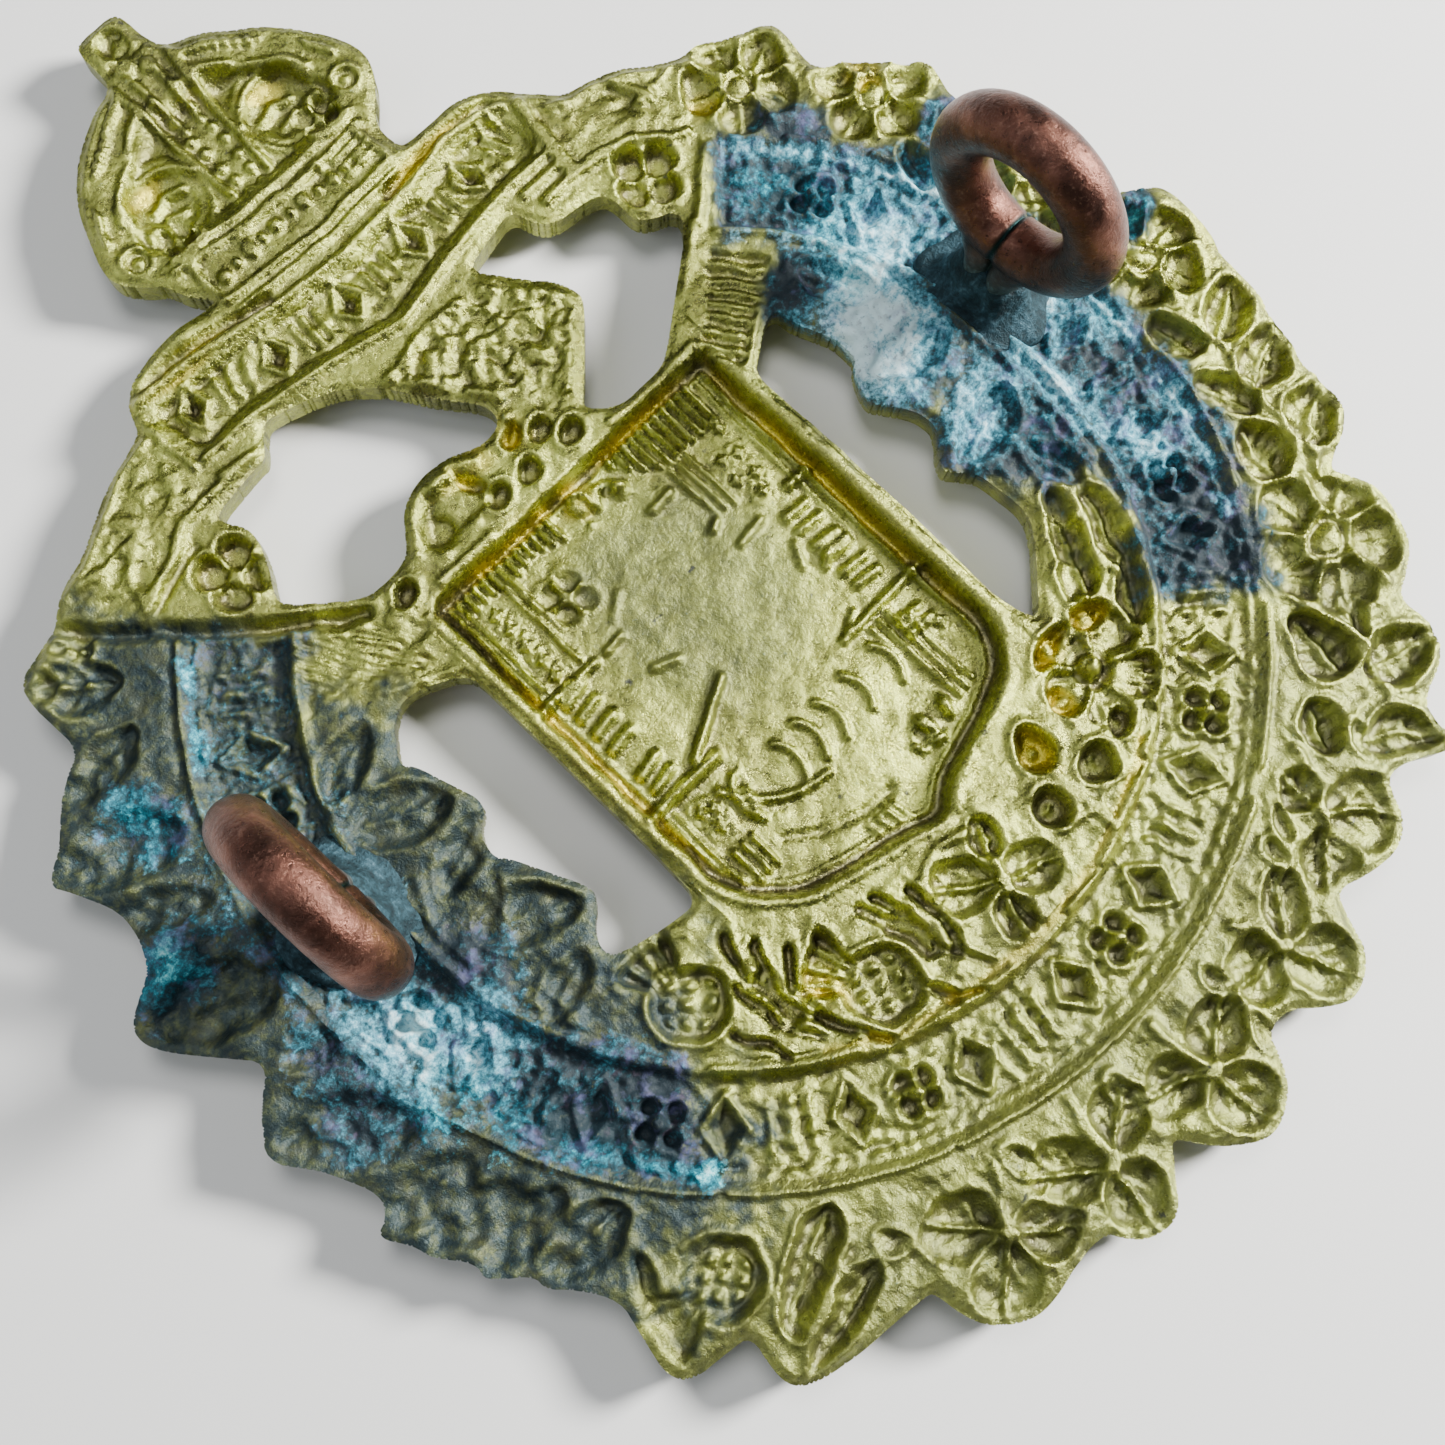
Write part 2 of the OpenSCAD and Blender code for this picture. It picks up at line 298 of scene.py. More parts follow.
# What the clipping die leaves: the outline of the whole badge, clockwise from the crown.
OUTLINE = [
    (-0.95, 28.1), (-0.6, 28.3), (0.6, 28.3), (0.9, 28.1), (0.95, 26.75), (1.2, 26.3),
    (2, 26), (3.2, 25.2), (4.2, 24.4), (4.9, 23.4), (5.4, 22.4), (5.55, 21.7), (5.3, 21),
    (4.8, 20.4), (4.2, 19.8), (4, 19.3), (4.05, 18.6), (4.3, 18.45), (6.2, 18.45), (7, 18.2),
    (7.6, 17.8), (8.2, 17.1), (8.7, 16.5), (9.1, 16.1), (10.2, 15.9), (11, 15.5), (12, 14.8),
    (12.8, 14.4), (13.6, 14.4),
    # the roses and their leaves
    (14.4, 13.8), (15.5, 13.4), (15.75, 12.9), (15.5, 11.4), (15.8, 10.9), (16.6, 10.6),
    (17.6, 9.3), (18.35, 8.7), (18.2, 8), (17.9, 7.3), (18.3, 6.8), (19.2, 6.3), (19.6, 5.4),
    (19.3, 4.5), (19.5, 3.7), (19.2, 2.9), (19.3, 2), (19.2, 1.2), (20, 0.8), (20.5, 0.2),
    (20.4, -1.8), (20, -2.6), (20, -3.3), (19.9, -4.5), (19.45, -5.1), (19.5, -6),
    (19.0, -6.9), (19.1, -7.4), (19.1, -8.2), (18.6, -9.1), (17.6, -9.5), (17, -9.8),
    (17.3, -10.3), (17.6, -11.3), (17.4, -12.2), (16.9, -13.2), (16, -13.7), (15.3, -14),
    (15.4, -15.3), (14.8, -16.2), (13.4, -16.6), (13.1, -17.2), (13.1, -18), (12.7, -18.2),
    (11.8, -17.6), (11, -17.3), (10.6, -17.4),
    # the shamrocks
    (10.2, -18.5), (9.3, -19), (8, -18.8), (7, -18.4), (6.6, -19.2), (6.2, -20.4), (5, -20.9),
    (4.2, -20.5), (3.3, -19.6), (2.4, -19.6), (2, -20.6), (1.4, -21.3), (0.3, -21.7),
    (-0.6, -21.2), (-1.3, -20.5), (-1.7, -19.8), (-2, -19.6), (-2.4, -20.2), (-3.5, -21.2),
    (-4.4, -21), (-4.9, -20.5), (-5.2, -19.9), (-6.2, -19.85), (-7.8, -20.1), (-8.6, -19.9),
    (-9.4, -19.2), (-9.7, -18.4), (-9.8, -17.5), (-10, -17.35),
    # the thistles and their jagged leaves
    (-12.8, -17), (-13.9, -16.7), (-14.4, -16.3), (-14.45, -15.6), (-14.2, -14.5),
    (-14.9, -14.35), (-16.2, -14.2), (-16.6, -13.6), (-16.3, -12.2), (-16.05, -11.2),
    (-16.7, -10.1), (-17.3, -9.5), (-17.25, -9), (-18.3, -8.1), (-18.1, -7.6), (-18.9, -6.6),
    (-19, -6.0), (-19.6, -5.1), (-19, -4.9), (-18.7, -4.3), (-19.3, -2.8), (-20.3, -1.4),
    (-19.4, -0.2), (-18.35, 0.6), (-19.5, 2), (-20.2, 2.9), (-20.5, 3.6), (-20.3, 4.2),
    (-19.2, 4.75), (-18.6, 5.5), (-18.4, 6.8), (-19, 8.2), (-19.35, 8.8), (-18.3, 9.4),
    (-17.4, 10.5), (-16.05, 11.2), (-16.1, 13.2), (-15.9, 13.9), (-15, 14.1), (-14, 14.45),
    # the folded ribbon, the scroll and the crown's other side
    (-13.6, 14.8), (-13, 15.2), (-12, 15.5), (-11, 16.1), (-10, 16.6), (-9, 16.9),
    (-8.2, 17.2), (-8.1, 17.5), (-7.8, 18.2), (-7.2, 18.6), (-6.3, 18.85), (-5.3, 18.9),
    (-3.6, 18.7), (-3.75, 19.0), (-4.2, 19.6), (-4.4, 20.2), (-5, 20.8), (-5.4, 21.3),
    (-5.45, 21.9), (-5.1, 22.8), (-4.7, 23.8), (-4, 24.8), (-3, 25.6), (-2, 26.1),
    (-1.15, 26.4), (-0.95, 26.75),
]
# The four openings that are pierced through it.
OPENINGS = [
    [(-8.4, 13.6), (-6.4, 13.9), (-6.1, 13.85), (-5.4, 14.7), (-5.1, 14.75), (-4.2, 14.5),
     (-3, 14), (-2, 13.1), (-1.2, 11.8), (-0.5, 10.9), (-0.1, 10.3), (-0.2, 9.65),
     (-1, 9.5), (-1.5, 9.7), (-2.3, 10.05), (-3.3, 10.1), (-4.2, 9.8), (-4.8, 9.1),
     (-5.2, 8.6), (-6, 8.45), (-7, 8.5), (-8.7, 10), (-8.9, 10.4), (-8.6, 10.9),
     (-8, 12), (-7.95, 12.7), (-8.3, 13.2)],
    [(2.6, 14), (4, 14.3), (5, 14.5), (5.2, 13.7), (5.6, 13.2), (7.2, 13), (7.6, 12.7),
     (7.55, 11.3), (8.85, 10.75), (8.3, 10), (5, 7.6), (4.5, 7.4), (2.8, 7.4), (2.1, 8),
     (2, 8.3), (2.6, 8.8), (3.5, 9.7), (4.5, 10.7), (4.55, 11.1), (4.3, 11.8), (3.9, 12.2)],
    [(6.5, 5.2), (7, 5.5), (8, 6.2), (8.5, 6.2), (8.6, 5.4), (9, 4.6), (9.2, 4), (9.1, 3.3),
     (8.8, 3.1), (8.3, 2.1), (8.6, 1.6), (9.1, 0.9), (9.3, 0.2), (9.1, -0.2), (8.6, -0.7),
     (8.3, -1.2), (8.7, -1.6), (9.1, -2.2), (9.2, -4), (8.6, -4.8), (7.8, -5.6), (7.1, -6.3),
     (6.8, -6.3), (6.5, -5), (6.6, -2), (6.6, 2)],
    [(-6.4, 4.5), (-7, 5), (-8.2, 5.5), (-8.9, 5.3), (-9.6, 4.5), (-9.8, 4.1), (-9.5, 3.8),
     (-9.2, 2.8), (-8.8, 1.5), (-9.6, 1), (-9.8, 0.2), (-9.5, -0.1), (-9, -1.2),
     (-8.4, -2.5), (-8.6, -2.9), (-9.4, -3.6), (-9.5, -4.2), (-9, -4.5), (-7.5, -4.9),
     (-6.5, -5), (-6.4, -3)],
]

# How far each net point lies inside the metal; negative outside it and in the openings.
whole = (slice(None), slice(None))
outline = rounded(rounded(OUTLINE), 0.12)
metal = line_distance(outline, whole, closed=True)
metal = np.where(inside(outline, whole), metal, -metal)
for opening in OPENINGS:
    part, depth = depth_in(rounded(rounded(opening), 0.12), 3)
    metal[part] = np.minimum(metal[part], -depth)


# ---------------------------------------------------------------- struck plate: the tools
# Each of these presses one kind of motif into the net, as the punch cutter's tools did. What
# stands up on the face is a hollow here, and what is cut into the face stands up here.


def local(at, turn, reach):
    """A window round a spot, and its net points' own coordinates, turned by turn degrees."""
    part = window([at], reach)
    c, s = math.cos(math.radians(turn)), math.sin(math.radians(turn))
    dx, dy = X[part] - at[0], Y[part] - at[1]
    return part, dx * c + dy * s, -dx * s + dy * c


def along(at, turn, far):
    """The point a distance away from a spot, turn degrees round."""
    return (at[0] + far * math.cos(math.radians(turn)), at[1] + far * math.sin(math.radians(turn)))


def hollow(part, depth, side, inner):
    """Sinks a window to depth where inner, how deep inside its edge, is more than 0."""
    t = soft(inner / side)
    Z[part] = np.minimum(Z[part], Z[part] * (1 - t) - depth * t)


def line(points, width, height):
    """A raised line on the back, or a groove if height is negative."""
    part = window(points, width)
    Z[part] += height * soft(1 - line_distance(points, part) / width)


def bead(at, size, height):
    """A round bead that stands on the back, or a dimple if height is negative."""
    part, u, v = local(at, 0, size)
    Z[part] += height * np.sqrt(np.clip(1 - (u * u + v * v) / size ** 2, 0, 1))


def bowl(at, length, width, turn, depth, lip=0.12):
    """A round-bottomed oval hollow with a raised lip."""
    part, u, v = local(at, turn, max(length, width) / 2 + 0.4)
    r = np.hypot(u / (length / 2), v / (width / 2))
    Z[part] = np.minimum(Z[part], -depth * np.clip(1 - r ** 3, 0, 1) ** 0.8)
    Z[part] += lip * soft(1 - np.abs((r - 1) * min(length, width) / 2 - 0.06) / 0.22)


def leaf(at, length, width, turn, depth=0.5, veins=5, lip=0.1, point=0.6):
    """A leaf with a midrib and side veins, hollow between them, in a raised lip."""
    part, u, v = local(at, turn, length / 2 + 0.4)
    t = np.clip(u / (length / 2), -1, 1)
    inner = width / 2 * (1 - t * t) ** point * (1 - 0.15 * t) - np.abs(v)
    inner[np.abs(u) > length / 2] = -1
    hollow(part, depth, 0.42, inner)
    on = soft(inner / 0.12)
    Z[part] += on * 0.18 * soft(1 - np.abs(v) / 0.17)
    if veins:
        wave = 0.5 + 0.5 * np.cos(2 * math.pi * (u / length * veins - np.abs(v) / width * 1.8))
        Z[part] += on * 0.09 * wave ** 2 * soft(np.abs(v) / 0.3)
    Z[part] += lip * soft(1 - np.abs(inner + 0.03) / 0.18)


def petals(at, size, turn, count, depth, ribs=0.08):
    """Round petals about a middle, with ribs that fan out from it."""
    part, u, v = local(at, turn, size * 1.25)
    r = np.hypot(u, v)
    side = np.abs((np.arctan2(v, u) * count / (2 * math.pi) + 0.5) % 1 - 0.5) * 2
    inner = size * (1 - 0.28 * side ** 2.2) - r
    hollow(part, depth, 0.35, inner)
    on = soft(inner / 0.15)
    Z[part] += on * 0.6 * depth * soft((side - 0.68) / 0.32) * soft(r / (size * 0.35))
    fan = 0.5 + 0.5 * np.cos(np.arctan2(v, u) * count * 5)
    Z[part] += on * ribs * fan ** 2 * soft((r - size * 0.2) / 0.3)
    Z[part] += 0.08 * soft(1 - np.abs(inner + 0.04) / 0.2)


def rose(at, size, turn, depth=0.6):
    """Five separate petals, each a bowl, about a beaded middle."""
    for i in range(5):
        a = turn + 72 * i
        bowl(along(at, a, size * 0.62), size * 0.84, size * 0.74, a + 90, depth * 0.85, 0.07)
    for i in range(5):
        a = turn + 72 * i
        line([along(at, a, size * 0.3), along(at, a, size * 0.85)], 0.13, 0.14)
        line([along(at, a + 36, size * 0.35), along(at, a + 36, size * 0.9)], 0.17, 0.16)
    bowl(at, size * 0.62, size * 0.62, 0, depth * 0.8, 0.06)
    bead(at, size * 0.21, 0.42)
    for i in range(7):
        bead(along(at, turn + 51 * i, size * 0.34), 0.12, 0.12)


def shamrock(heart, leaflets, stem):
    """Three round leaflets about a heart, each with a midrib and veins, and a stem."""
    for x, y, length, width in leaflets:
        turn = math.degrees(math.atan2(y - heart[1], x - heart[0]))
        bowl((x, y), length, width, turn, 0.52, 0.07)
    for x, y, length, width in leaflets:
        turn = math.degrees(math.atan2(y - heart[1], x - heart[0]))
        line([heart, along((x, y), turn, length * 0.42)], 0.16, 0.28)
        for k in (-1, 1):
            for foot in (-0.25, 0.08):
                root = along((x, y), turn, length * foot)
                line([root, along(root, turn + 42 * k, width * 0.38)], 0.11, 0.12)
    line([heart, stem], 0.24, 0.2)


def thistle(at, size, turn, depth=0.6):
    """A cross-hatched ball in a round hollow, and a ribbed tuft that opens along turn."""
    part, u, v = local(along(at, turn, size * 1.55), turn, size * 1.7)
    spread = size * (0.70 + 0.50 * soft((u + size * 0.7) / (size * 1.3)))
    inner = np.minimum(spread - np.abs(v), size * 0.85 - np.abs(u))
    hollow(part, depth, 0.35, inner)
    Z[part] += soft(inner / 0.15) * 0.20 * (0.5 + 0.5 * np.cos(v / spread * 15)) ** 2
    Z[part] += 0.1 * soft(1 - np.abs(inner) / 0.2)
    bowl(at, size * 2.5, size * 2.5, 0, depth * 1.15, 0.14)
    part, u, v = local(at, turn + 45, size)
    dome = np.sqrt(np.clip(1 - (u * u + v * v) / (size * 0.92) ** 2, 0, 1))
    down, across = 0.5 + 0.5 * np.cos(u * 11), 0.5 + 0.5 * np.cos(v * 11)
    Z[part] += 0.22 * dome + 0.26 * soft(dome * 2) * down * across


def sweep(points, width, depth, ridge=0.16):
    """A long curved leaf along a line, widest in its middle, with a raised edge."""
    p = np.array(points, float)
    for a, b, t in zip(p[:-1], p[1:], np.linspace(0.2, 1, len(p) - 1)):
        half = width * math.sin(math.pi * min(t, 0.86))
        part = window([a, b], half + 0.1)
        hollow(part, depth, 0.25, half - line_distance([a, b], part))
    line(points, 0.16, ridge)


def ribs(points, pitch, turn, height):
    """Straight raised ribs over an outline."""
    part, depth = depth_in(points, 0.1)
    c, s = math.cos(math.radians(turn)), math.sin(math.radians(turn))
    across = -X[part] * s + Y[part] * c
    Z[part] += height * soft(depth / 0.15) * (0.5 + 0.5 * np.cos(2 * math.pi * across / pitch))


def pebbles(points, size, height):
    """A rough, pebbled ground."""
    part, depth = depth_in(points, 0.1)
    lumps = grain(size)[part] * 0.65 + grain(size * 0.55)[part] * 0.35
    Z[part] += height * soft(depth / 0.3) * soft(lumps * 1.6 + 0.5)


def arc(r, a0, a1, steps=24, centre=(0, 0)):
    """Points along a round stretch about a centre, from a0 to a1 degrees."""
    return [along(centre, a, r) for a in np.linspace(a0, a1, steps)]


# ---------------------------------------------------------------- struck plate: the band
# A round band, sunk a little in the back, with a raised rim on each side and a stippled
# ground that carries a row of plain ornaments.

RIM_IN, RIM_OUT = 13.0, 16.4
BAND_SUNK = 0.34
END_RIGHT, END_LEFT = 46.5, 134.8

past_end = (bearing > END_RIGHT) & (bearing < END_LEFT)
swung = np.minimum((END_RIGHT - bearing) % 360, (bearing - END_LEFT) % 360) * radius * math.pi / 180
on_band = np.where(past_end, -1, np.minimum.reduce([radius - RIM_IN, RIM_OUT - radius, swung]))
hollow(whole, BAND_SUNK, 0.3, on_band - 0.12)
Z += np.where(on_band > 0.3, 0.12 * soft(grain(0.24) * 1.3 + 0.35), 0)
rim_arc = (END_LEFT + 0.5, 360 + END_RIGHT - 0.5)
line(arc(RIM_IN, *rim_arc, 120), 0.26, 0.2)
line(arc(RIM_OUT + 0.08, *rim_arc, 120), 0.2, 0.18)
line(arc(RIM_OUT - 0.42, *rim_arc, 120), 0.2, 0.16)
# its two ends, where the ribbon folds over it
line([(11.6, 12.2), (8.9, 10.0)], 0.3, 0.22)
line([(-14.1, 14.3), (-12, 12.1), (-10, 10.2), (-7.4, 8.3)], 0.45, -0.5)


def lozenge(at, size, turn):
    """A raised four-sided outline about a hollow middle."""
    part, u, v = local(at, turn, size)
    edge = np.abs(u) * 0.9 + np.abs(v) * 1.25 - size * 0.95
    Z[part] += 0.2 * soft(1 - np.abs(edge) / 0.24)
    hollow(part, BAND_SUNK + 0.3, 0.22, (-edge - 0.22) * 0.6)


def knot(at, size, turn):
    """Four small round lobes about a bead."""
    for a in (45, 135, 225, 315):
        bowl(along(at, turn + a, size * 0.48), size * 0.82, size * 0.82, 0, BAND_SUNK + 0.28, 0.14)
    bead(at, size * 0.3, 0.3)


def bars(at, size, turn):
    """Three short upright bars side by side."""
    part, u, v = local(at, turn, size)
    inner = np.minimum(size * 0.85 - np.abs(u), size * 0.8 - np.abs(v))
    Z[part] += soft(inner / 0.12) * (0.24 * (0.5 - 0.5 * np.cos(v / size * math.pi * 3 + math.pi)) - 0.1)


# The ornaments keep one turn as they go round: bars, lozenge, knot, lozenge.
ORNAMENTS = (bars, lozenge, knot, lozenge)
for i, a in enumerate(np.arange(142, 401, 7.4)):
    ORNAMENTS[i % len(ORNAMENTS)](along((0, 0), a, 14.65), 0.96, a)


# ---------------------------------------------------------------- struck plate: the shield
# A shield struck deep, so that its back is a flat-bottomed pan. Rows of fine upright ribs,
# two columns of small blocks, a few plain lines and a small four-lobed flower are on its floor.

SHIELD = [(-5.9, 7.05), (5.98, 7.05), (5.98, -5.3), (5.5, -6.4), (4.6, -7.05), (3, -7.5),
          (1.3, -7.95), (0.45, -8.6), (-1, -8.1), (-2.5, -7.7), (-4.2, -7.1), (-5.3, -6.1),
          (-5.85, -5.0)]
PAN = 0.8
part, depth = depth_in(rounded(SHIELD), 0.6)
Z[part] += 0.13 * soft(1 - np.abs(depth + 0.2) / 0.24)
hollow(part, PAN, 0.24, depth)
Z[part] += 0.07 * soft(depth / 0.6) * grain(1.7)[part]
Z[part] += 0.13 * soft(1 - np.abs(depth - 0.52) / 0.14)

RIBBED = [
    # outline, pitch, turn, height
    ([(-5.6, 6.75), (-1.0, 6.75), (-1.2, 5.6), (-2.4, 6.0), (-3.5, 5.7), (-4.1, 5.9), (-5.6, 6)],
     0.34, 90, 0.35),
    ([(0.9, 6.75), (4.9, 6.75), (4.9, 5.0), (3.4, 5.1), (2.6, 5.0), (1.8, 5.7)], 0.34, 90, 0.37),
    ([(-5.7, 6.2), (-5.0, 6.2), (-5.0, 2.6), (-5.7, 2.6)], 0.34, 90, 0.35),
    ([(-4.1, 5.9), (-3.2, 5.9), (-3.5, 2.6), (-4.1, 2.6)], 0.34, 90, 0.26),
    ([(2.2, 5.2), (3.4, 5.2), (3.4, 2.7), (2.5, 2.9)], 0.36, 90, 0.26),
    ([(5.0, 6.6), (5.75, 6.6), (5.75, -5.2), (5.3, -5.8), (5.0, 1.5)], 0.34, 90, 0.22),
    ([(-5.65, -2.5), (-5.0, -2.5), (-5.0, -6.0), (-5.4, -5.4)], 0.32, 90, 0.31),
    ([(-4.9, -4.6), (-3.8, -4.6), (-3.8, -6.0), (-4.9, -6.0)], 0.36, 90, 0.31),
    ([(3.1, -2.8), (4.3, -2.8), (4.5, -6.3), (3.5, -6.5)], 0.36, 90, 0.26),
    ([(-1.4, -6.9), (-0.1, -7.0), (0, -7.9), (-1.4, -7.5)], 0.36, 100, 0.22),
]
for area, pitch, turn, height in RIBBED:
    ribs(area, pitch, turn, height)
for spot in ((-4.55, 5.5), (-4.55, 4.9), (-4.6, 4.2), (-4.5, 3.5), (-4.6, 2.9), (-4.5, -3.2),
             (-4.4, -3.9), (-4.1, -3.4),
             (3.9, 4.1), (4.5, 3.9), (3.8, 3.3), (4.4, 3.1), (4.3, -3.7), (4.9, -4.3), (4.6, 4.9),
             (4.1, 2.5)):
    petals(spot, 0.36, 30, 4, PAN + 0.14, 0)
    bead(spot, 0.22, 0.3)
for y in (2.0, 1.4, 0.7, 0.0, -1.1, -1.7):
    line([(-5.0, y), (-4.2, y + 0.12)], 0.3, 0.3)
for y in (1.4, 0.8, 0.1, -0.4, -1.1, -1.7, -3.4, -3.9):
    line([(4.0, y), (4.8, y - 0.1)], 0.28, 0.26)
for points, width, height in (
        ([(-5.65, 2.35), (-5.2, 2.35)], 0.34, 0.42), ([(-5.0, 2.35), (-3.5, 2.35)], 0.26, 0.34),
        ([(-3.0, 2.35), (-2.3, 2.35)], 0.22, 0.26), ([(-5.7, -2.25), (-3.0, -2.3)], 0.32, 0.42),
        ([(2.4, -2.6), (5.7, -2.6)], 0.24, 0.28),
        ([(4.8, 2.05), (5.5, 2.0)], 0.28, 0.32), ([(3.3, -2.2), (2.7, -2.45)], 0.2, 0.18),
        ([(-3.5, -1.95), (-2.4, -1.4), (-1.1, -0.72)], 0.24, 0.4), ([(1.2, 4.5), (2.0, 4.55)], 0.26, 0.3),
        ([(2.4, 1.75), (3.4, 1.85)], 0.22, 0.26),
        ([(2.1, 2.7), (2.4, 2.85)], 0.24, 0.3), ([(-2.1, 2.9), (-1.4, 3.4)], 0.26, 0.14),
        ([(-2.3, 0.95), (-1.6, 0.6)], 0.26, 0.22),
        ([(3.2, -0.1), (3.6, 0.6)], 0.24, 0.22), ([(3.7, -0.6), (4.1, -0.2), (4.9, -0.3)], 0.22, 0.24),
        (arc(3.4, 205, 265, 14, (-0.6, -1.7)), 0.24, 0.24),
        ([(-3.3, -5.5), (-2.4, -6.2), (-1.2, -6.6), (0, -6.8)], 0.3, -0.14)):
    line(points, width, height)
petals((-2.6, 4.4), 0.95, 45, 4, PAN + 0.1, 0.04)
bead((-2.6, 4.4), 0.28, 0.3)
for x in (-1.3, -0.4, 0.5, 1.7, 3.0):
    line(arc(1.1, 42, -42, 10, (x - 1.0, -4.0)), 0.2, 0.22)
line(arc(1.1, 215, 125, 10, (-2.4, -4.0)), 0.22, 0.26)
pebbles([(1.3, -6.4), (2.1, -5.6), (3.2, -5.3), (3.5, -6.6), (2.4, -7.1), (1.4, -6.9)], 0.4, 0.42)
pebbles([(-3.6, -2.8), (-2.5, -2.9), (-2.8, -3.6), (-3.3, -5.2), (-1.5, -4.9), (-2.6, -4.4),
         (-3.6, -4.6)], 0.4, 0.36)
pebbles([(-1.2, 6.3), (-0.5, 6.8), (0.9, 6.4), (1.9, 5.6), (1.3, 5.1), (0.6, 5.6), (-0.8, 5.2)],
        0.45, 0.34)
bead((-0.25, 6.2), 0.42, 0.32)
bead((1.0, 5.65), 0.34, 0.24)


# ---------------------------------------------------------------- struck plate: bars and crest
# Two ribbed bars tie the shield's top corners to the band, and a pebbled crest with a low
# mound beside it ties the shield to the scroll.

ribs([(5.6, 6.7), (8.4, 9.2), (9.2, 8.5), (9.6, 7.4), (8.1, 6.6), (6.5, 5.6)], 0.46, 125, -0.22)
line([(5.0, 7.75), (6.8, 8.8), (8.7, 10.1)], 0.28, 0.24)
line([(6.4, 5.5), (8.2, 6.7)], 0.2, 0.14)
ribs([(-9.7, 9.2), (-7.1, 7.7), (-6.9, 5.5), (-10.4, 7.4)], 0.27, 118, -0.2)
line([(-7.0, 8.4), (-8.8, 9.9)], 0.24, 0.16)
line([(-6.6, 5.1), (-8.3, 5.8), (-10.3, 7.2)], 0.2, 0.12)

CREST = [(-2.2, 13.2), (-1.0, 11.6), (-0.05, 10.3), (0.1, 9.2), (0.6, 7.8), (1.9, 7.5), (1.9, 8.4),
         (3.4, 9.8), (4.35, 10.75), (4.4, 11.1), (3.8, 12.1), (2.6, 13.6), (0, 13.7)]
part, depth = depth_in(CREST, 0.3)
hollow(part, 0.12, 0.4, depth - 0.25)
pebbles(CREST, 0.42, 0.17)
pebbles(CREST, 0.26, 0.13)
MOUND = [(-5.0, 8.4), (-4.6, 9.2), (-4.1, 9.65), (-3.3, 9.85), (-2.3, 9.8), (-1.6, 9.3), (-1.3, 8.3),
         (-1.6, 7.5), (-4.5, 7.5)]
part, depth = depth_in(rounded(MOUND), 0.3)
hollow(part, 0.5, 0.5, depth - 0.2)
line(MOUND[:6], 0.26, 0.16)
pebbles(MOUND, 0.9, 0.3)
for x, y in ((-0.25, 9.1), (0.5, 8.6), (-6.1, 7.8), (-0.7, 7.9), (1.1, 7.9), (-1.9, 8.0)):
    bowl((x, y), 1.0, 0.75, 30, 0.45)


# ---------------------------------------------------------------- struck plate: the crown
# A crown of two outer arches and a middle one, each with a row of pearls, over a cushion
# and a jewelled rim, with a plain block for the cross on its top.

CUSHION = [(-0.85, 24.9), (-2.6, 24.4), (-3.9, 23.1), (-4.5, 21.7), (-3.9, 20.9), (-3.1, 20.5),
           (3.1, 20.5), (3.9, 20.9), (4.5, 21.7), (3.9, 23.1), (2.6, 24.4), (0.85, 24.9)]
part, depth = depth_in(rounded(CUSHION), 0.4)
hollow(part, 0.5, 0.6, depth)
ARCH = [(1.25, 25.75), (2.1, 25.3), (3.1, 24.6), (4.0, 23.7), (4.6, 22.8), (4.95, 21.9)]
for s in (1, -1):
    line([(s * x * 0.86, y - 0.7) for x, y in ARCH], 0.26, 0.26)
    line([(s * (x + 0.3), y + 0.28) for x, y in ARCH], 0.2, 0.1)
    stretch = [np.interp(np.linspace(0, 5, 18), range(6), [p[k] for p in ARCH]) for k in (0, 1)]
    for x, y in zip(*stretch):
        bead((s * x, y), 0.2, 0.24)
    bowl((s * 2.35, 22.4), 2.9, 2.5, 90, 0.8, 0.14)
    line(arc(1.5, 20, 160, 12, (s * 2.5, 22.1)), 0.22, 0.24)
    line([(s * 1.7, 22.5), (s * 2.3, 22.75), (s * 2.9, 22.5)], 0.28, 0.26)
    line([(s * 2.1, 21.9), (s * 2.7, 22.1)], 0.2, 0.2)
    petals((s * 3.0, 21.2), 0.85, 45, 4, 0.75, 0)
    bead((s * 3.0, 21.2), 0.26, 0.3)
    line(arc(1.0, 215, 325, 8, (s * 3.1, 21.3)), 0.2, 0.26)
    bowl((s * 4.45, 21.4), 0.8, 0.8, 0, 0.3)
    bead((s * 4.45, 21.4), 0.26, 0.3)
    line([(s * 1.1, 26.2), (s * 0.95, 24.2), (s * 0.75, 21.2)], 0.24, 0.34)
    line([(s * 0.42, 25.9), (s * 0.34, 23.8)], 0.22, 0.24)
    for k, y in enumerate((25.0, 24.3, 23.4, 22.8, 22.1, 21.5, 20.9)):
        bead((s * (0.52 - 0.04 * k), y), 0.21, 0.2)
    line([(s * 3.4, 19.9), (s * 3.5, 18.6)], 0.24, 0.26)
line([(-3.9, 20.2), (-1.3, 19.8), (1.3, 19.75), (3.6, 20.0)], 0.22, 0.26)
line([(-3.6, 20.55), (-1.2, 20.3), (1.2, 20.3), (3.5, 20.5)], 0.2, 0.2)
line([(-3.4, 18.45), (0, 18.15), (3.5, 18.35)], 0.22, 0.24)
line([(-3.3, 17.95), (0, 17.75), (3.4, 17.95)], 0.2, 0.2)
for k in range(11):
    x = -2.9 + 0.58 * k
    bead((x, 19.2 - 0.02 * x * x), (0.25, 0.16)[k % 2], 0.26)
for y in (19.55, 19.2, 18.85):
    line([(2.2, y), (3.3, y + 0.06)], 0.17, 0.2)
bowl((0, 27.5), 1.1, 1.2, 0, 0.3, 0.06)
line([(-0.75, 26.85), (0.75, 26.85)], 0.18, -0.16)
bead((-0.3, 26.5), 0.36, 0.32)
bead((0.3, 26.1), 0.32, 0.26)
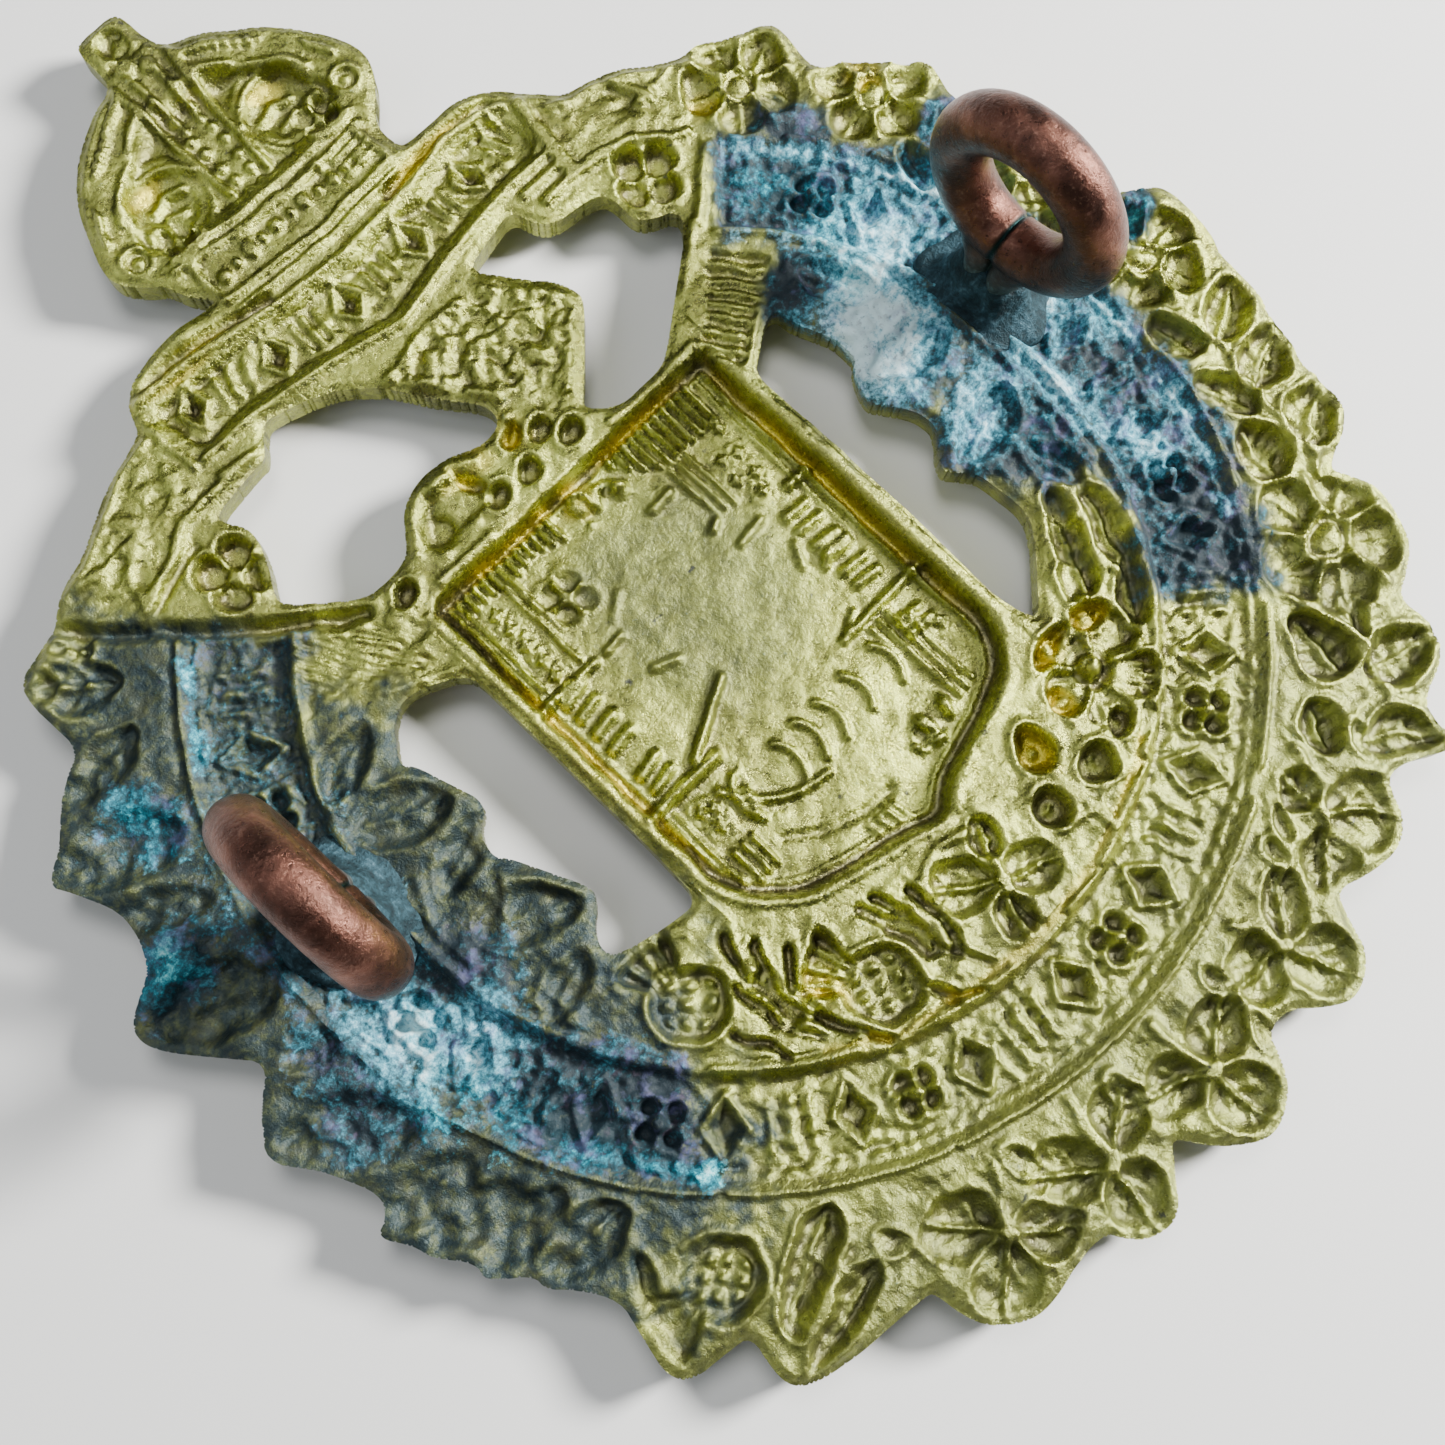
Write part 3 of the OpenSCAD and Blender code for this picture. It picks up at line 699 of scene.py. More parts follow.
pebbles([(-0.7, 28.0), (0.7, 28.0), (0.7, 27.0), (-0.7, 27.0)], 0.35, 0.2)
pebbles([(-2, 20.2), (2, 20.2), (2, 18.3), (-2, 18.3)], 0.8, 0.12)


# ---------------------------------------------------------------- struck plate: the scroll
# The title scroll sags under the crown between two raised edges, and each of its ends is
# folded behind a forked ribbon that runs down to the band. A small flower sits in each fold.

SCROLL = [(-7.6, 17.5), (-5.5, 17.4), (-3.4, 17.1), (0, 16.75), (3.2, 16.95), (5.2, 17.35),
          (6.6, 17.3), (7.2, 16.9), (7.2, 15.3), (5.4, 15.25), (2.5, 14.95), (0, 14.4),
          (-2.5, 14.95), (-5, 15.35), (-7.4, 15.4)]
part, depth = depth_in(rounded(SCROLL), 0.3)
hollow(part, 0.36, 0.3, depth)
Z[part] += np.where(depth > 0.2, 0.08 * soft(grain(0.3)[part] + 0.3), 0)
SCROLL_LINES = [
    # along, width, height
    ([(-7.7, 17.85), (-5.6, 17.8), (-3.9, 17.45), (0, 17.0), (3.4, 17.25), (5, 17.6), (6.6, 17.55),
      (7.3, 17.2)], 0.26, 0.3),
    ([(-7.7, 18.25), (-6.0, 18.3), (-4.0, 17.95), (-2.5, 17.6)], 0.34, -0.3),
    ([(2.6, 17.6), (3.8, 17.85), (5.2, 18.0), (7.0, 17.75)], 0.34, -0.3),
    ([(-7.4, 15.15), (-5, 15.05), (-2.5, 14.65), (0, 14.1), (2.5, 14.65), (5.5, 15.05), (7.2, 15.0)],
     0.24, 0.24),
    ([(-8.0, 17.4), (-7.8, 15.2)], 0.26, 0.22), ([(7.8, 17.0), (7.3, 14.2)], 0.42, 0.32),
    ([(-7.4, 14.4), (-5.9, 14.15), (-5.4, 14.4)], 0.2, 0.22), ([(7.2, 14.45), (5.6, 14.5)], 0.26, 0.22),
    # the ribbon's folds
    ([(-13.4, 14.9), (-12.2, 15.05), (-11, 15.8), (-9.9, 16.45), (-8.4, 16.75)], 0.24, 0.26),
    ([(-13.4, 14.85), (-11.8, 14.6), (-10.6, 14.65)], 0.18, 0.18),
    ([(-11.8, 12.8), (-11.5, 13.7), (-10.8, 14.4)], 0.22, 0.2),
    ([(-11.6, 12.9), (-10.2, 13.4), (-9.2, 14.0), (-8.3, 14.15), (-6.4, 14.15)], 0.24, 0.28),
    ([(-12.2, 12.5), (-9.4, 13.3)], 0.2, -0.16),
    ([(8.0, 13.9), (9.4, 13.5), (10.4, 12.6), (11.2, 12.3)], 0.24, 0.24),
    ([(10.3, 15.4), (10.9, 14.2), (11.5, 12.5)], 0.22, 0.2), ([(10.5, 14.15), (12.2, 14.35)], 0.26, 0.3),
    ([(6.0, 13.85), (7.4, 13.9), (8.6, 13.7)], 0.28, 0.3),
    ([(8.3, 16.1), (9.2, 15.7), (10.4, 15.5), (11.6, 14.8)], 0.22, 0.2),
]
for points, width, height in SCROLL_LINES:
    line(points, width, height)
for i, x in enumerate(np.arange(-6.4, 6.5, 1.42)):
    (bars if i % 2 else lozenge)((x, 15.9 + 0.019 * x * x), 0.72, 90 + x * 2.2)
for spot, turn in (((-9.2, 11.9), 45), ((8.9, 12.3), 10)):
    petals(spot, 1.3, turn, 4, 0.6, 0.03)
    bead(spot, 0.32, 0.3)
pebbles([(-13.6, 14.6), (-10, 16.3), (-8.3, 16.6), (-8.2, 14.4), (-11.4, 13.1)], 0.3, 0.1)


# ---------------------------------------------------------------- struck plate: the wreath
# Outside the band a wreath stands on the plate: roses and their leaves on one side, thistles
# and jagged leaves on the other, and a row of shamrocks between them.

for at, size, turn in (((13.4, 12.5), 2.0, 10), ((16.2, 9.3), 1.9, 50), ((17.9, 4.1), 1.8, 20),
                       ((18.2, -0.8), 2.0, 0), ((15.2, -11.2), 2.5, 25)):
    rose(at, size, turn)
ROSE_LEAVES = [
    # middle, length, width, turn
    ((18.7, -3.85), 2.5, 1.7, 25), ((16.75, -3.4), 2.1, 1.5, 100), ((18.4, -5.8), 2.6, 1.9, 20),
    ((16.5, -5.7), 2.3, 1.5, 110), ((15.9, -7.8), 2.1, 1.8, 80), ((18.1, -8.15), 2.6, 1.9, 25),
    ((12.35, -13.2), 2.6, 1.9, 80), ((14.0, -15.15), 2.8, 1.8, -14), ((10.5, -14.8), 2.0, 1.5, 65),
    ((12.1, -16.85), 2.7, 1.7, -42), ((15.3, 6.5), 1.9, 1.2, 75), ((17.4, 6.7), 1.9, 1.3, 30),
    ((16.9, 1.7), 1.9, 1.2, 80), ((19.0, 1.6), 1.8, 1.3, 60), ((13.95, -13.4), 1.6, 0.7, 60),
    ((17.2, -9.5), 1.3, 0.8, 30), ((13.3, -11.6), 1.4, 0.8, 110),
]
for at, length, width, turn in ROSE_LEAVES:
    leaf(at, length, width, turn, 0.6, 5, 0.14, 0.5)
for joint in (((17.5, -2.9), (17.5, -5.0), (17.2, -7.0), (16.9, -9.0)),
              ((13.0, -12.0), (13.4, -14.0), (12.6, -15.9)),
              ((16.7, 3.4), (17.9, 2.2), (17.6, 0.9))):
    line(joint, 0.22, 0.2)

SHAMROCKS = [
    # heart, leaflets as x, y, length and width, end of the stem
    ((8.5, -16.7), [(9.4, -17.55, 2.7, 2.5), (7.5, -17.6, 2.1, 1.9), (8.5, -15.6, 1.5, 1.3)],
     (9.3, -14.7)),
    ((4.7, -18.3), [(3.5, -18.2, 2.2, 2.0), (5.55, -17.5, 2.0, 1.7), (5.2, -19.6, 2.6, 2.2)],
     (4.0, -16.8)),
    ((0.3, -19.1), [(1.35, -18.4, 2.0, 1.9), (-0.85, -18.6, 2.0, 1.9), (0.45, -20.4, 2.4, 2.2)],
     (0.1, -16.9)),
    ((-3.6, -18.7), [(-4.7, -18.0, 2.2, 2.0), (-2.5, -18.0, 2.1, 1.9), (-3.9, -20.0, 2.4, 2.1)],
     (-3.3, -16.6)),
    ((-7.2, -17.9), [(-8.0, -16.75, 2.3, 2.2), (-8.2, -18.8, 2.2, 2.2), (-6.25, -18.7, 1.9, 1.7)],
     (-6.1, -16.3)),
]
for heart, leaflets, stem in SHAMROCKS:
    shamrock(heart, leaflets, stem)
for x, y, turn in ((6.5, -16.3, 250), (2.4, -17.6, 265), (-1.8, -17.5, 95), (-5.4, -16.8, 110),
                   (7.3, -15.9, 230), (11.0, -15.9, 240), (-9.6, -15.6, 130), (2.2, -19.4, 250)):
    leaf((x, y), 1.5, 0.7, turn, 0.35, 0, 0.14, 0.8)

thistle((-13.7, -12.9), 1.0, 172, 0.55)
leaf((-11.8, -14.5), 4.0, 1.5, 208, 0.5, 7, 0.18, 0.45)
leaf((-12.0, -16.0), 3.8, 1.2, 192, 0.5, 6, 0.12)
bowl((-15.2, -11.3), 1.5, 0.8, 60, 0.4)
# jagged leaves: a long midrib with lobes that end in the outline's teeth
JAGGED = [
    ((-16.6, -3.5), (-20.0, -1.4)), ((-16.4, -5.6), (-19.3, -5.0)), ((-16.6, -0.4), (-18.2, 0.4)),
    ((-16.6, 2.2), (-20.2, 3.7)), ((-16.4, 5.2), (-18.4, 6.4)), ((-15.6, 7.4), (-19.1, 8.7)),
    ((-14.6, 10.4), (-17.2, 10.2)), ((-13.9, 11.8), (-15.9, 13.5)), ((-15.2, -8.0), (-18.1, -7.9)),
    ((-14.2, -9.6), (-17.1, -9.3)), ((-13.6, 13.0), (-14.7, 13.9)), ((-15.9, -6.9), (-18.7, -6.4)),
]
for foot, tip in JAGGED:
    length = math.dist(foot, tip)
    turn = math.degrees(math.atan2(tip[1] - foot[1], tip[0] - foot[0]))
    leaf(along(foot, turn, length / 2), length * 1.15, min(2.4, 0.5 + length * 0.5), turn,
         0.45, 3, 0.1, 0.8)
    for k in (-1, 1):
        for t in (0.3, 0.6):
            root = along(foot, turn, length * t)
            line([root, along(root, turn + 50 * k, 0.9)], 0.2, 0.16)


# ---------------------------------------------------------------- struck plate: the sprigs
# Between the band and the shield: a rose, its leaves and buds, a shamrock and two thistles,
# with jagged and waved leaves up each side.

petals((7.0, -8.9), 2.0, 20, 5, 0.5, 0.05)
for a in np.arange(205, 350, 13):
    line([along((7.0, -8.8), a, 0.65), along((7.0, -8.8), a, 1.75)], 0.15, 0.22)
bowl((6.95, -8.7), 1.3, 1.3, 0, 0.45, 0.1)
bead((6.95, -8.7), 0.42, 0.7)
for at, length, width, turn in (((6.45, -7.35), 1.6, 0.8, 12), ((5.55, -8.7), 1.2, 0.85, 85),
                                ((6.25, -10.3), 1.0, 0.8, 10), ((8.1, -7.55), 1.2, 0.95, -30)):
    bowl(at, length, width, turn, 0.8)
    bead(at, 0.26, 0.3)
for at, length, width, turn in (((9.2, -5.7), 3.2, 1.4, 68), ((10.6, -5.9), 3.3, 1.3, 70),
                                ((9.6, -7.9), 2.6, 1.1, 52), ((8.4, -6.3), 1.6, 0.9, 75),
                                ((10.0, -4.4), 1.6, 0.9, 60)):
    leaf(at, length, width, turn, 0.55, 6, 0.14, 0.5)
for at, length, width, turn in (((3.8, -9.1), 1.7, 1.1, 80), ((2.85, -10.65), 1.3, 1.15, 120),
                                ((4.8, -10.7), 1.3, 1.2, 20)):
    bowl(at, length, width, turn, 0.75, 0.16)
    pebbles([along(at, a, 0.4) for a in range(0, 360, 60)], 0.25, 0.2)
line([(3.75, -10.0), (3.75, -12.3)], 0.24, 0.26)
line([(3.7, -11.5), (3.1, -11.3)], 0.18, 0.18)
line([(3.8, -11.7), (4.5, -11.3)], 0.18, 0.18)
shamrock((0.1, -11.0), [(-0.85, -10.3, 2.1, 1.9), (1.05, -11.4, 2.0, 1.8), (-0.3, -12.0, 1.3, 1.2),
                        (0.75, -9.75, 1.4, 1.2)],
         (0.2, -12.6))
line(arc(1.4, 20, 200, 16, (-0.5, -10.4)), 0.24, 0.2)
thistle((-4.55, -10.5), 1.0, 118)
thistle((-8.85, -6.9), 0.95, 92)
SWEEPS = [
    [(-3.4, -8.6), (-3.0, -9.6), (-2.6, -10.8), (-1.9, -12.3)],
    [(-2.9, -8.7), (-2.6, -9.6), (-2.9, -10.9)],
    [(-2.0, -9.2), (-1.9, -10.2), (-2.2, -11.4)],
    [(-6.3, -7.0), (-6.9, -7.9), (-6.9, -9.3), (-6.1, -10.8)],
    [(-7.6, -7.6), (-7.5, -9.0), (-6.9, -10.2)], [(-6.7, -6.2), (-7.1, -6.9), (-7.3, -7.8)],
    [(-8.6, -8.4), (-8.1, -9.3), (-8.0, -10.0)], [(-5.7, -7.9), (-6.3, -8.6), (-6.4, -9.6)],
    [(-3.7, -11.6), (-3.4, -12.3), (-2.6, -12.7)], [(-6.4, -9.9), (-6.2, -10.8), (-5.5, -11.8)],
]
for stem in SWEEPS:
    sweep(stem, 0.44, 0.55)
    line([(x + 0.26, y) for x, y in stem], 0.15, 0.18)
INNER_LEAVES = [
    ((-10.7, 3.0), 3.4, 2.0, -20), ((-10.9, 5.3), 3.0, 1.5, 25), ((-10.3, 0.9), 3.2, 1.6, 195),
    ((-10.2, -1.8), 3.6, 2.0, -30), ((-10.9, -4.0), 2.6, 1.4, 20), ((10.4, 5.6), 3.2, 1.6, 120),
    ((10.3, 2.3), 3.4, 1.9, 170), ((10.3, -1.1), 3.4, 1.9, 190), ((10.9, -3.4), 2.6, 1.3, 100),
]
for at, length, width, turn in INNER_LEAVES:
    leaf(at, length, width, turn, 0.36, 3, 0.12, 0.8)
for points in (((-12.4, 0.2), (-11.9, 1.2)), ((-12.0, 4.3), (-11.2, 5.0)), ((-11.5, -4.8), (-11.3, -3.6)),
               ((-10.6, -1.2), (-10.0, -0.6)), ((-9.6, 3.2), (-9.0, 1.6)),
               ((-9.9, -0.4), (-9.2, -1.3), (-8.6, -2.5))):
    line(points, 0.24, 0.22)
line([(-12.5, 6.2), (-12.6, 2.0), (-12.3, -2.0), (-11.6, -5.0)], 0.22, 0.14)
line([(12.2, 3.6), (12.4, -0.5), (11.9, -4.2)], 0.26, 0.18)


# ---------------------------------------------------------------- struck plate: wear and crust
# Handling has rounded every edge, and salts from the brazing have eaten the brass round each
# loop and left a crust there: chalky and pale near the loops, turquoise, then almost black.


def wavered(field, far):
    """The field with its lines shifted by up to far mm, as work cut by hand wanders."""
    down = np.arange(field.shape[0])[:, None] + grain(0.9) * far / NET
    across = np.arange(field.shape[1])[None, :] + grain(0.8) * far / NET
    down = np.clip(down, 0, field.shape[0] - 1.01)
    across = np.clip(across, 0, field.shape[1] - 1.01)
    i, j = down.astype(int), across.astype(int)
    fi, fj = down - i, across - j
    low = field[i, j] * (1 - fj) + field[i, j + 1] * fj
    high = field[i + 1, j] * (1 - fj) + field[i + 1, j + 1] * fj
    return low * (1 - fi) + high * fi


def folds(size):
    """Sharp little ridges that wander, as thin metal shows where it was pulled over the die."""
    return (1 - 2 * np.abs(grain(size))) * 0.6 + (1 - 2 * np.abs(grain(size * 0.6))) * 0.4


# how far the lines wander, and how much more in the leaves, which were cut most freely
WAVER, WAVER_LOOSE = 0.045, 0.11

outer = soft((radius - 16.6) / 0.4) * (Y < 17)
inner = soft((12.7 - radius) / 0.3) * (np.abs(X) > 6.3) + soft((-8.4 - Y) / 0.4) * (radius < 12.7)
loose = np.clip(outer + np.minimum(inner, 1), 0, 1)
Z = blur(wavered(Z, WAVER + WAVER_LOOSE * loose), 1)
Z += loose * (0.3 * (blur(Z, 2) - Z) + 0.10 * folds(1.2) + 0.055 * folds(0.6))
Z *= 0.3 + 0.7 * soft((metal - 0.05) / 0.5)
Z -= 0.12 * soft(1 - metal / 0.28)
worn_side = soft((-X - 14.0) / 2) * soft((12.5 - Y) / 3) * soft((radius - 16) / 1.0)
worn_side = np.maximum(worn_side, 0.6 * soft((-X - 8) / 1.5) * (radius < 12.9) * (Y < 7) * (Y > -4.9))
Z = Z * (1 - worn_side) + (blur(Z, 9) + 0.12 * grain(1.3) + 0.06 * grain(0.5)) * worn_side
Z += 0.07 * soft((radius - 16.5) / 0.5) * grain(0.8) + 0.04 * grain(0.5) * (radius < 12.9)


def patch(*blobs):
    """A field that falls from 1 in the middle of each blob to 0 at its edge and goes on down."""
    field = np.full(X.shape, -9.0)
    for x, y, length, width, turn in blobs:
        c, s = math.cos(math.radians(turn)), math.sin(math.radians(turn))
        u = (X - x) * c + (Y - y) * s
        v = -(X - x) * s + (Y - y) * c
        field = np.maximum(field, 1 - np.hypot(u / (length / 2), v / (width / 2)))
    return field


coarse_rag = grain(1.6)
fine_rag = grain(0.45)
finest_rag = grain(0.2)
rag = 0.20 * coarse_rag + 0.16 * fine_rag + 0.10 * finest_rag
turned = (bearing + 180) % 360 - 180
band_right = np.minimum.reduce([(radius - 12.4) / 2, (17.0 - radius) / 2, (47 - turned) / 6,
                                (turned + 41) / 8])
band_left = np.minimum.reduce([(radius - 12.3) / 2, (16.5 - radius) / 2, (bearing - 134) / 5,
                               (222 - bearing) / 8])
crusted = np.maximum.reduce([
    patch((10.6, 3.0, 7.2, 8.0, 0), (10.9, -1.6, 5.4, 7.0, 20), (9.4, 6.2, 4.0, 2.4, 30),
          (14.5, 3, 5, 9, 0), (17.0, 6.9, 3.0, 1.6, 20), (19.2, 0.4, 2.4, 1.3, 30),
          (13.4, 10.2, 2.2, 3.6, 30), (12.4, -1.5, 3.0, 7.5, 10)),
    patch((-14.6, 3, 5, 8, 0), (-15.9, 8.2, 2.8, 4.0, 30), (-18.5, 4.4, 4.2, 2.8, 20),
          (-16.6, -1.6, 4.0, 6.0, 0), (-12.6, -1.6, 3.2, 4.4, 0), (-17.8, -2.4, 3.0, 3.0, 0)),
    band_right, band_left,
]) + rag
# over the band above the far loop it is only a haze
haze = soft((patch((-12.9, 6.6, 6.0, 11.5, -30)) + 0.3 * rag) / 0.3)
streak = np.maximum(np.minimum(1 - np.abs(radius - 16.2) / 0.42, (7.5 - np.abs(bearing - 144)) / 3),
                    np.minimum(1 - np.abs(radius - 15.9) / 0.4, (8 - np.abs(bearing - 216)) / 3)) + rag
verdigris = soft((crusted + 0.05) / 0.5) * (1 - 0.55 * haze) + soft(streak)
# how chalky and how turquoise the crust is, and where it is a dark stain rather than a crust
chalky = np.maximum.reduce([
    1.5 * patch((10.1, 3.3, 6.6, 6.0, 0)), 0.78 * patch((-15.3, -1.8, 4.0, 6.6, 8)),
    0.62 * patch((12.6, 5.4, 9, 6, 100), (14.6, 0.6, 4.6, 5.0, 0), (10.6, -0.2, 4, 4, 0),
                 (-14.2, -3.4, 5.0, 5.4, 0), (12.9, -2.2, 1.6, 7, 0), (13.6, -5.2, 1.8, 5.4, 10)),
    0.42 * patch((-18.4, 4.8, 3, 2.2, 20), (-16.0, 8.4, 2.2, 3.6, 30)),
    0.55 * (1 - np.abs(radius - 16.0) / 0.45) * (turned > -32) * (turned < 45),
    0.42 * np.minimum(1 - np.abs(radius - 16.2) / 0.45, (8 - np.abs(bearing - 144)) / 3),
    0.42 * (1 - np.abs(radius - 15.9) / 0.5) * (bearing > 206) * (bearing < 225),
    0.50 * (1 - np.abs(radius - 12.9) / 0.5) * (turned > -16) * (turned < 44),
]).clip(0, 1)
chalky += 0.06 - 0.42 * np.clip(patch((13.0, -8.6, 6, 6, 0), (-12.9, -7.8, 6, 7, 0),
                                      (10.0, 6.4, 2.6, 2.0, 0)), 0, 0.6)
chalky += 0.16 * coarse_rag + 0.18 * fine_rag + 0.14 * finest_rag
turquoise = soft(np.maximum.reduce([
    patch((-15.3, -4.4, 4.6, 6.4, 10), (-16, 8.4, 4, 5, 30), (-18.6, 4.4, 5, 4, 20),
          (11.8, 8.6, 5, 6, 40), (-13.6, 10.2, 2.4, 5.4, -35), (11.4, -2.8, 2.4, 4, 20),
          (19.2, 0.4, 3, 2, 30)) * 1.2,
    1.2 * (1 - np.abs(radius - 16.0) / 0.8) * (bearing > 205) * (bearing < 224),
    0.9 * (1 - np.abs(radius - 16.2) / 0.8) * (bearing > 136) * (bearing < 152),
]) + 0.5 * coarse_rag)
dulled = soft(np.maximum.reduce([
    1.9 * patch((-15.5, 0.5, 18, 31, 8), (-17, -7.5, 9, 12, 0), (-13, 10.5, 7.5, 5.5, 130)) + 1.0 * rag,
    patch((11.5, 0.5, 8.5, 16, 5)) + rag, crusted + 0.25,
]) / 0.5)
# the rest is darker and less metallic only in places: the middle of the pan, the foot of the band and the
# shamrocks
darker_places = 0.48 * soft(patch((0.4, 1.6, 9, 10, 0), (-0.8, 4.2, 5, 3, 0)) / 0.5 + 0.5 * rag)
darker_places = np.maximum(darker_places, 0.42 * soft((-Y - 9) / 5) * soft(0.7 + rag))
darker_places = np.maximum(darker_places, 0.22 * soft((X - 12) / 4) * soft((-Y - 2) / 4) * soft(0.6 + rag))
dulled = np.maximum(dulled, darker_places)
# painted highlight: a gold colour on the walls of hollows that face the key lamp, and along part of the
# band's inner rim
golden_highlight = soft(np.maximum.reduce([
    patch((-5.8, 0, 1.0, 12, 0), (5.85, 1.0, 0.8, 14, 0), (2.7, 6.95, 5.6, 0.9, 0),
          (-2.7, 6.95, 6, 0.8, 0), (-0.2, 6.3, 1.6, 1.6, 0), (6.45, -7.3, 2.2, 1.4, 12),
          (8.2, -7.5, 1.8, 1.6, 0), (5.5, -8.7, 1.4, 1.8, 0), (3.8, -9.1, 1.4, 2.2, 0),
          (-2.6, 23.2, 2.0, 0.8, 20), (2.2, 23.3, 2.2, 0.8, -20), (-5.8, 17.8, 5, 1.0, -4),
          (4.4, 17.8, 4.6, 1.0, 4), (-1.9, 9.3, 2.6, 1.4, 0), (-0.2, 9.1, 1.6, 1.8, 0),
          (12, 12.7, 1.6, 1.6, 0), (16.6, 9.9, 1.6, 2, 0), (-5.7, -9.5, 1.6, 2.4, 0)) * 1.6,
    1.3 * (1 - np.abs(radius - 12.95) / 0.45) * (bearing > 236) * (bearing < 300),
]) + 0.25 * fine_rag)
Z += verdigris * (0.05 * grain(0.5) + 0.06 * fine_rag + 0.05 * finest_rag + 0.03)
Z += 0.015 * grain(0.3) + 0.03 * grain(1.2)
LOWEST, HIGHEST = -1.45, 0.24
Z = np.clip(Z, LOWEST, HIGHEST)

# Creases are where the back lies lower than the metal about it; ridges stand above it. The brass paints
# shade into the creases and a highlight onto the ridges from this field.
crease = np.clip((blur(Z, 20) - Z) / 0.22, -1, 1) * 0.5 + 0.5


# ---------------------------------------------------------------- struck plate: the metal
# Old brass: olive where it is dull, with painted shade darkening its creases, a painted highlight making
# its ridges pale, and a painted gold highlight on the walls of hollows that face the key lamp.

brass = Finish("old_brass")
lumps = brass.noise(0.35, 4, 0.6)
fine = brass.noise(3.2, 5, 0.7)
speck = brass.noise(2.2, 3, 0.6, offset=(3, 8, 1))
gritty = brass.noise(5.5, 4, 0.75, offset=(1, 5, 2))
blush = brass.noise(1.1, 4, 0.65, offset=(6, 2, 7))
crease_at = brass.own("crease")
crust_at = brass.own("verdigris")
tone = brass.math("ADD", brass.math("MULTIPLY", lumps, 0.55), brass.math("MULTIPLY", fine, 0.45))
metal_colour = brass.ramp(tone, [(0.36, (0.160, 0.166, 0.048)), (0.5, (0.284, 0.304, 0.072)),
                                 (0.64, (0.435, 0.475, 0.108))])
# painted shade: the creases are darkened towards a dull brown
metal_colour = brass.mix(brass.span(crease_at, 0.54, 0.92, 0, 0.80), metal_colour, (0.165, 0.142, 0.092))
# painted highlight: the ridges are paled towards a light yellow
metal_colour = brass.mix(brass.span(crease_at, 0.36, 0.0, 0, 0.4), metal_colour, (0.66, 0.69, 0.18))
# painted highlight: the gold colour is laid on those lit walls, most strongly down in the creases
metal_colour = brass.mix(brass.math("MULTIPLY", brass.own("golden_highlight"),
                                    brass.span(crease_at, 0.35, 0.75, 0.15, 0.85)),
                         metal_colour, (0.46, 0.38, 0.030))
dull_at = brass.math("MULTIPLY", brass.own("dulled"), brass.span(fine, 0.46, 0.68, 1.0, 0.80))
dull_at = brass.math("MULTIPLY", dull_at, brass.span(crease_at, 0.40, 0.05, 1.0, 0.55))
metal_colour = brass.mix(dull_at, metal_colour, brass.ramp(blush, [
    (0.36, (0.016, 0.028, 0.032)), (0.5, (0.028, 0.044, 0.044)), (0.64, (0.048, 0.058, 0.040))]))
metal_colour = brass.mix(brass.span(speck, 0.69, 0.75, 0, 0.8), metal_colour, (0.030, 0.032, 0.045))
chalk = brass.math("ADD", brass.own("chalky"), brass.span(gritty, 0.28, 0.72, -0.34, 0.32))
blues = brass.ramp(chalk, [
    (0.00, (0.007, 0.016, 0.022)), (0.18, (0.014, 0.056, 0.072)), (0.34, (0.034, 0.142, 0.190)),
    (0.50, (0.090, 0.295, 0.375)), (0.68, (0.26, 0.53, 0.62)), (0.92, (0.62, 0.82, 0.85))])
greens = brass.ramp(chalk, [
    (0.00, (0.003, 0.022, 0.030)), (0.22, (0.006, 0.070, 0.098)), (0.42, (0.012, 0.190, 0.255)),
    (0.56, (0.080, 0.430, 0.480)), (0.85, (0.46, 0.80, 0.82))])
crust_colour = brass.mix(brass.own("turquoise"), blues, greens)
crust_colour = brass.mix(brass.span(speck, 0.60, 0.70, 0, 0.55), crust_colour, (0.045, 0.030, 0.050))
crust_colour = brass.mix(brass.span(blush, 0.54, 0.70, 0, 0.42), crust_colour, (0.150, 0.150, 0.330))
crust_edge = brass.span(brass.math("ADD", crust_at, brass.span(gritty, 0.3, 0.7, -0.4, 0.4)), 0.25, 0.85)
brass.set(
    Base_Color=brass.mix(crust_edge, metal_colour, crust_colour),
    Metallic=brass.math("SUBTRACT", brass.math("SUBTRACT", 1.0, brass.math("MULTIPLY", dull_at, 0.5)),
                        crust_edge),
    Roughness=brass.math("ADD", brass.span(fine, 0.3, 0.7, 0.18, 0.37),
                         brass.math("MAXIMUM", brass.math("MULTIPLY", crust_edge, 0.36),
                                    brass.math("MULTIPLY", dull_at, 0.16))),
    Specular_IOR_Level=0.3,
)
brass.bump(brass.math("ADD", brass.math("MULTIPLY", fine, 0.055), brass.math("MULTIPLY", gritty, 0.045)))


# ---------------------------------------------------------------- struck plate: cutting the net
# The net is cut to the outline, given the sheet's thickness, and made in parts that meet
# along the net's own lines, so that the back is one unbroken surface.

gy, gx = np.gradient(metal, NET)
steep = np.maximum(np.hypot(gx, gy), 0.5)
pull = np.where(np.abs(metal) < 0.6 * NET, metal / steep ** 2, 0)
XS, YS = X - gx * pull, Y - gy * pull
corner = metal > -0.5 * NET
cell = corner[:-1, :-1] & corner[1:, :-1] & corner[:-1, 1:] & corner[1:, 1:]
FRONT = blur(Z, 1) - SHEET

